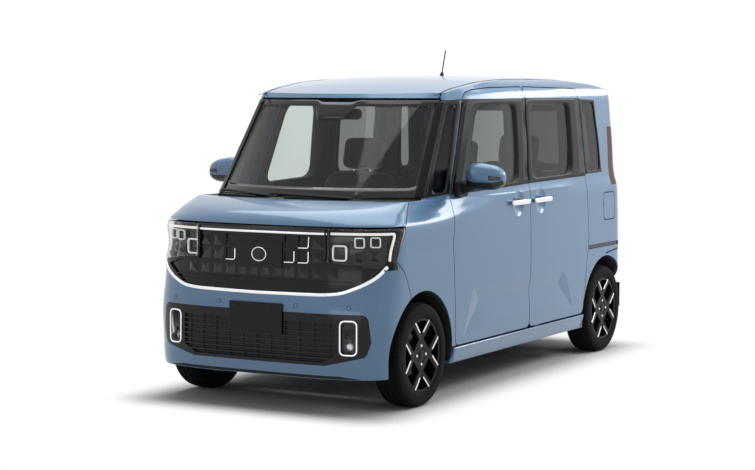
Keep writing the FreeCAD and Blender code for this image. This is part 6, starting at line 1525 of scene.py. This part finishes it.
@dataclass
class Cabin:
    """Inner trim: door cards, pillar linings, head lining, dash fittings and inner mirror."""

    shop: Workshop
    inset: float = 0.066
    rest_height: float = 0.86
    cards: tuple = (("front", ((-0.745, 0.330), (0.135, 0.330), (0.135, 1.135), (-0.745, 1.115))),
                    ("slide", ((0.205, 0.330), (0.955, 0.330), (0.975, 1.150), (0.205, 1.150))))
    linings: tuple = (
        ("front", ((-0.735, 1.120), (0.135, 1.135), (0.140, 1.665), (-0.500, 1.650)),
         ((-0.630, 1.145), (0.002, 1.162), (0.016, 1.614), (-0.421, 1.609))),
        ("slide", ((0.205, 1.145), (0.985, 1.155), (0.945, 1.665), (0.208, 1.665)),
         ((0.236, 1.173), (0.777, 1.180), (0.787, 1.621), (0.236, 1.611))),
        ("quarter", ((1.035, 1.05), (1.400, 1.05), (1.330, 1.665), (0.985, 1.665)),
         ((1.058, 1.184), (1.286, 1.187), (1.218, 1.618), (1.014, 1.622))))

    def card(self, word: str, corners: Corners, side: Side) -> None:
        """A trim card inside a door or a body side, with an arm rest that swells inwards."""
        a, b, c, d = np.asarray(corners, float)
        s, t = np.linspace(0, 1, 26)[:, None, None], np.linspace(0, 1, 20)[:, None]
        y, z = np.moveaxis((a * (1 - s) + b * s) * (1 - t) + (d * (1 - s) + c * s) * t, -1, 0)
        rest = 0.016 * np.exp(-((z - self.rest_height) / 0.035) ** 4) * np.exp(-((t[:, 0] - 0.5) / 2) ** 2)
        self.shop.sheet("door_card_" + word, xyz(FORM.half(y, z) - self.inset - rest, y, z), "door_card",
                        IN, side.door if word == "front" else SHELL, side, 0.003)

    def lining(self, word: str, outer: Corners, inner: Corners, side: Side) -> None:
        """A pillar lining behind a window surround."""
        y, z = np.moveaxis(between(loop_through(inner, 10, 1), loop_through(outer, 10), 3), -1, 0)
        self.shop.sheet("lining_" + word, xyz(FORM.half(y, z) - self.inset, y, z), "door_card", IN,
                        side.door if word == "front" else SHELL, side, loop=True, crisp=None)

    def ceiling(self) -> None:
        """The head lining under the roof panel."""
        half = 0.55
        x = np.linspace(-half, half, 25)
        grid = FORM.roof_at(x, np.linspace(-0.66, 1.44, 40)[:, None])
        grid[..., 2] -= 0.036 + 0.02 * (np.abs(x) / half) ** 6
        self.shop.sheet("head_lining", grid, "head_lining", DOWN, wall=0.004)

    def dash(self) -> None:
        """Instrument hood, centre display, inner mirror and camera box."""
        s, t = np.linspace(0, 1, 24)[:, None], np.linspace(-1, 1, 30)
        hood = xyz(-0.33 + 0.19 * t, -0.90 + 0.16 * s,
                   0.982 + 0.062 * (1 - np.abs(t) ** 4) * np.sin(math.pi * (0.15 + 0.85 * s)))
        self.shop.sheet("instrument_hood", hood, "dash_grain", UP, wall=0.004)
        x, z, rise = rings(pill(0.25, 0.135, 0.012, 5), (1.0, 0.97, 0.93, 0.0), (0.0, 0.006, 0.003, 0.003))
        self.shop.sheet("centre_display", xyz(x, -0.712 + rise, 1.015 + z), "screen_black", BACK,
                        wall=0.018, loop=True)
        x, z, rise = rings(pill(0.235, 0.062, 0.026, 7), (0.9, 1.0, 1.0, 0.93, 0.0),
                           (-0.020, -0.012, 0.0, 0.003, 0.003))
        self.shop.sheet("inner_mirror", xyz(x, -0.775 + rise, 1.560 + z), "black_matte_trim", BACK,
                        wall=0.001, loop=True)
        y, z = line_through(((-0.782, 1.572), (-0.800, 1.630)), 8).T
        self.shop.tube("inner_mirror_stem", xyz(0.0, y, z), AHEAD, pill(0.022, 0.014, 0.005),
                       "black_matte_trim")
        x, z, rise = rings(pill(0.15, 0.085, 0.012, 5), (1.0, 1.0, 0.9, 0.0), (0.000, 0.045, 0.05, 0.05))
        box = FORM.screen_at(x, 1.585 + z) + xyz(0.0, 0.012 + rise, 0.0)
        self.shop.sheet("camera_box", box, "black_matte_trim", BACK, wall=0.002, loop=True)

    def build(self) -> None:
        """Make the inner trim."""
        for side in Side:
            for card in self.cards:
                self.card(*card, side)
            for lining in self.linings:
                self.lining(*lining, side)
        self.ceiling()
        self.dash()
        self.shop.dress("dash_grain", "dashboard", "steering_wheel")


@dataclass
class Tail:
    """Rear lamp fittings, wiper, handle garnish and reflectors."""

    shop: Workshop

    def on_tail(self, skin: Skin, x: Array, z: Array, lift: float) -> Array:
        """Points on the tail skin, standing proud by the lift."""
        return skin.strike(FORM.tail_at(x, z), AHEAD, 0.03) + np.array([0.0, lift, 0.0])

    def build(self) -> None:
        """Dress the tail."""
        skin = Skin("tailgate", "rear_bumper", "tail_lamps")
        grid = self.on_tail(skin, np.linspace(-0.30, 0.30, 40)[:, None], np.linspace(0.905, 0.955, 5),
                            0.004)
        grid[:, 1:-1, 1] += 0.010
        self.shop.sheet("tailgate_garnish", grid, "black_gloss_trim", BACK, "tailgate", wall=0.004)
        stop = self.on_tail(skin, np.linspace(-0.14, 0.14, 24)[:, None], np.linspace(1.638, 1.656, 3),
                            0.002)
        self.shop.sheet("high_stop_lamp", stop, "red_lens", BACK, "tailgate", wall=0.004)
        for side in Side:
            grid = self.on_tail(skin, side.sign * np.linspace(0.47, 0.60, 14)[:, None],
                                np.linspace(0.36, 0.40, 3), 0.002)
            self.shop.sheet(titled("rear_reflector", side), grid, "red_lens", BACK, wall=0.003)
        x, z = line_through(((0.30, 1.175), (0.02, 1.215), (-0.30, 1.200)), 30, 2).T
        self.shop.tube("rear_wiper", self.on_tail(skin, x, z, 0.012), BACK, pill(0.012, 0.010, 0.004),
                       "black_matte_trim", "tailgate")
        self.shop.dress("red_lens", "tail_lamps")


@dataclass
class Underside:
    """Linings of the wheel openings, mud flaps, side skirts and the right quarter's blank cover."""

    shop: Workshop
    axles: tuple = (("front", -1.1785, -12.0), ("rear", 1.3165, -2.0))
    height: float = 0.281
    radius: float = 0.3442
    strike_radius: float = 0.3475
    last_turn: float = 192.0
    inner_x: float = 0.515
    flange_radius: float = 0.302
    widest: float = 0.7325
    skin_gap: float = 0.0050
    skirt_section: tuple = ((0.0004, 0.2785), (0.0066, 0.2762), (0.0090, 0.2725), (0.0092, 0.2690),
                            (0.0050, 0.2300), (0.0012, 0.1960), (-0.0005, 0.1925))
    lid_gap: float = 0.006

    def lining(self, word: str, axle: float, start: float, skin: Skin, side: Side) -> None:
        """A curved strip just inside a wheel opening, from an inner flange out to the skin.

        Its radius is constant. Its edge is the skin's, but never outside its neighbours' edges, and it is
        drawn in behind the rear wheel, where the tail narrows.

        Args:
            word: front or rear.
            axle: station of the axle.
            start: angle of its first end in degrees.
            skin: skin that limits it.
            side: side of the car.
        """
        turn = np.radians(np.linspace(start, self.last_turn, 90))
        y, z = axle + self.strike_radius * np.cos(turn), self.height + self.strike_radius * np.sin(turn)
        edge = np.minimum(skin.strike(xyz(FORM.half(y, z), y, z), IN, 0.12)[..., 0], self.widest)
        edge = np.minimum(edge, np.minimum(np.roll(edge, 1), np.roll(edge, -1)))
        edge = np.minimum(edge, self.widest - 0.3 * np.clip(y - 1.55, 0, None))
        width = edge - self.skin_gap - self.inner_x
        x = self.inner_x + width[:, None] * np.concatenate([[0.0], np.linspace(0, 1, 6)])
        reach = np.array([self.flange_radius] + [self.radius] * 6)
        grid = xyz(x, axle + reach * np.cos(turn)[:, None], self.height + reach * np.sin(turn)[:, None])
        self.shop.sheet("arch_lining_" + word, grid, "underseal", side=side, wall=0.0012,
                        axis=(axle, self.height))

    def blank(self) -> None:
        """A flush cover over the opening of the right quarter that has no filler lid."""
        low, high = (np.asarray(corner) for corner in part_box("fuel_lid"))
        shrink = self.lid_gap / 2 * (low + high)
        y, z = (np.linspace(low[axis], high[axis], 16) * (1 - self.lid_gap) + shrink[axis]
                for axis in (1, 2))
        grid = side_points(Skin("fuel_lid"), y[:, None], z)
        self.shop.sheet("quarter_blank", grid, "ice_blue_paint", OUT, side=Side.RIGHT, wall=0.0012)

    def build(self) -> None:
        """Make the pieces of both sides."""
        skin = Skin("body_sides", "wings", "front_bumper", "rear_bumper")
        flap = xyz(np.linspace(0.540, 0.698, 8)[:, None], 1.650, np.linspace(0.262, 0.420, 10))
        y, (out, z) = np.linspace(-0.829, 0.967, 60)[:, None], np.array(self.skirt_section).T
        skirt = xyz(FORM.half(y, z) + out, y, z)
        for side in Side:
            for word, axle, start in self.axles:
                self.lining(word, axle, start, skin, side)
            self.shop.sheet("mud_flap", flap, "black_matte_trim", AHEAD, side=side, wall=0.004)
            self.shop.sheet("side_skirt", skirt, "ice_blue_paint", OUT, side=side, wall=0.0012, crisp=30.0)
        self.blank()


@dataclass
class Trim:
    """Sliding door rails, wiper blades and the finishes of the remaining CAD nodes."""

    shop: Workshop
    rail_height: float = 0.699
    blades: tuple = (("driver", (-0.10, -1.320, 1.098), (-0.62, -1.085, 1.112)),
                     ("passenger", (0.36, -1.290, 1.098), (-0.16, -1.300, 1.112)))
    blade_shift: tuple = (0.0, -0.004, 0.018)
    finishes: tuple = (
        ("ice_blue_paint", "body_sides", "roof_panel", "bonnet", "wings", "front_bumper", "rear_bumper",
         "front_door_left", "front_door_right", "sliding_doors", "tailgate", "fuel_lid"),
        ("black_matte_trim", "antenna", "cowl"), ("plate_black", "front_plate"),
        ("plate_pale", "rear_plate"), ("underseal", "underbody", "front_suspension"),
        ("exhaust_steel", "exhaust"), ("tank_black", "fuel_tank"),
        ("cast_steel", "engine", "rear_axle", "knuckle_left", "knuckle_right"))

    def build(self) -> None:
        """Make the small trim and dress the nodes."""
        y = np.linspace(1.030, 1.500, 40)
        rail = xyz(FORM.half(y, self.rail_height) - 0.0095, y, self.rail_height)
        for side in Side:
            self.shop.tube("slide_rail", rail, OUT, pill(0.022, 0.010, 0.003), "black_gloss_trim",
                           side=side)
        for name, start, end in self.blades:
            s = np.linspace(0, 1, 24)[:, None]
            path = np.asarray(start) * (1 - s) + np.asarray(end) * s + np.asarray(self.blade_shift)
            self.shop.tube("wiper_blade_" + name, path, (0.0, -0.7, 0.7), pill(0.014, 0.010, 0.003),
                           "black_matte_trim")
        for finish, *nodes in self.finishes:
            self.shop.dress(finish, *nodes)


@dataclass
class Studio:
    """Camera as solved from the photograph, soft lamps, pale floor and white surroundings."""

    place: tuple = (5.444, -9.957, 1.704)
    azimuth: float = math.radians(29.42)
    elevation: float = math.radians(4.56)
    roll: float = math.radians(-0.09)
    focal_pixels: float = 1874.3
    picture_width: float = 755.0
    picture_centre: tuple = (7.3, 3.1)
    sensor: float = 36.0
    far_clip: float = 200.0
    lamps: tuple = (("overhead", (-0.2, 0.5, 4.9), (0.0, 0.3, 0.6), (4.6, 4.8), 160.0),
                    ("side_left", (5.0, 1.6, 4.9), (0.6, 0.4, 1.0), (8.5, 2.0), 130.0),
                    ("rear_left", (4.4, 7.0, 3.40), (0.7, 0.3, 1.0), (4.6, 1.2), 95.0),
                    ("front_right", (-2.9, -6.8, 3.2), (0.0, -1.5, 0.8), (2.0, 1.4), 14.0),
                    ("front_low", (0.8, -7.4, 0.65), (0.2, -1.6, 0.8), (3.2, 0.9), 12.0))
    surroundings: Colour = (0.93, 0.96, 1.0)
    surroundings_light: float = 0.24
    floor_half: float = 40.0
    floor_grey: float = 0.88
    floor_bounce: float = 0.30
    shadow_box: tuple = (0.62, 1.58, 0.0)
    shadow_fade: tuple = (0.06, 0.38)

    def camera(self) -> None:
        """Place the camera."""
        data = bpy.data.cameras.new("view")
        camera = bpy.data.objects.new("view", data)
        bpy.context.scene.collection.objects.link(camera)
        camera.location = self.place
        camera.rotation_euler = (RIGHT_ANGLE - self.elevation, self.roll, self.azimuth)
        data.sensor_width = self.sensor
        data.lens = self.sensor * self.focal_pixels / self.picture_width
        data.shift_x = -self.picture_centre[0] / self.picture_width
        data.shift_y = self.picture_centre[1] / self.picture_width
        data.clip_end = self.far_clip
        bpy.context.scene.camera = camera

    def lamp(self, name: str, place: Sequence[float], target: Sequence[float], size: Sequence[float],
             watts: float) -> None:
        """A soft area lamp aimed at a point."""
        data = bpy.data.lights.new(name, "AREA")
        data.shape = "RECTANGLE"
        data.size, data.size_y = size
        data.energy = watts
        item = bpy.data.objects.new(name, data)
        bpy.context.scene.collection.objects.link(item)
        item.location = place
        way = np.asarray(place, float) - np.asarray(target, float)
        item.rotation_euler = (math.atan2(math.hypot(way[0], way[1]), way[2]), 0.0,
                               math.atan2(way[0], -way[1]))

    def world(self) -> None:
        """White seen and mirrored surroundings that light the car only a little."""
        bpy.context.scene.world = bpy.data.worlds.new("studio")
        book = NodeBook(bpy.context.scene.world, "OutputWorld")
        path = book.add("LightPath").outputs
        seen = book.add("Math", {0: path["Is Camera Ray"], 1: path["Is Glossy Ray"]}, operation="MAXIMUM")
        seen = book.add("Math", {0: seen.outputs[0], 1: path["Is Transmission Ray"]}, operation="MAXIMUM")
        white = book.add("Background", {"Color": (1, 1, 1, 1), "Strength": 1.0})
        dim = book.add("Background",
                       {"Color": (*self.surroundings, 1), "Strength": self.surroundings_light})
        book.close(book.add("MixShader", {0: seen.outputs[0], 1: dim.outputs[0], 2: white.outputs[0]}))

    def floor(self) -> None:
        """A pale floor whose shadow stays near the car: it turns to white away from the outline."""
        book = NodeBook(bpy.data.materials.new("studio_floor"))
        cloth, soft = (book.add("BsdfDiffuse", {"Color": (grey, grey, grey, 1)}).outputs[0]
                       for grey in (self.floor_grey, self.floor_bounce))
        white = book.add("Emission", {"Strength": 1.0}).outputs[0]
        past = book.add("VectorMath", {0: book.place}, operation="ABSOLUTE").outputs["Vector"]
        past = book.add("VectorMath", {0: past, 1: self.shadow_box}, operation="SUBTRACT").outputs["Vector"]
        past = book.add("VectorMath", {0: past, 1: (0.0, 0.0, 0.0)}, operation="MAXIMUM").outputs["Vector"]
        away = book.add("VectorMath", {0: past}, operation="LENGTH").outputs["Value"]
        fade = book.add("MapRange",
                        {"From Min": self.shadow_fade[0], "From Max": self.shadow_fade[1], "Value": away},
                        interpolation_type="SMOOTHSTEP").outputs["Result"]
        mix = book.add("MixShader", {0: fade, 1: cloth, 2: white}).outputs[0]
        bounce = book.add("LightPath").outputs["Is Diffuse Ray"]
        mesh = bpy.data.meshes.new("studio_floor")
        corners = self.floor_half * np.array([[-1, -1, 0], [1, -1, 0], [1, 1, 0], [-1, 1, 0]])
        mesh.from_pydata(corners.tolist(), [], [(0, 1, 2, 3)])
        mesh.materials.append(book.close(book.add("MixShader", {0: bounce, 1: mix, 2: soft})))
        item = bpy.data.objects.new("studio_floor", mesh)
        bpy.context.scene.collection.objects.link(item)

    def build(self) -> None:
        """Set the studio up."""
        bpy.context.scene.view_settings.view_transform = "Standard"
        self.camera()
        self.world()
        self.floor()
        for lamp in self.lamps:
            self.lamp(*lamp)


def main() -> None:
    """Build every sub-assembly in order."""
    logging.basicConfig(level=logging.INFO, format="%(message)s")
    shop = Workshop()
    for assembly in (Underside(shop), Trim(shop), Glazing(shop), FrontBand(shop), FrontLamps(shop),
                     Tyres(shop), Wheels(shop), DoorHandles(shop), Mirrors(shop), Seats(shop), Cabin(shop),
                     Tail(shop), Studio()):
        LOG.info("building %s", type(assembly).__name__)
        assembly.build()


if __name__ == "__main__":
    main()
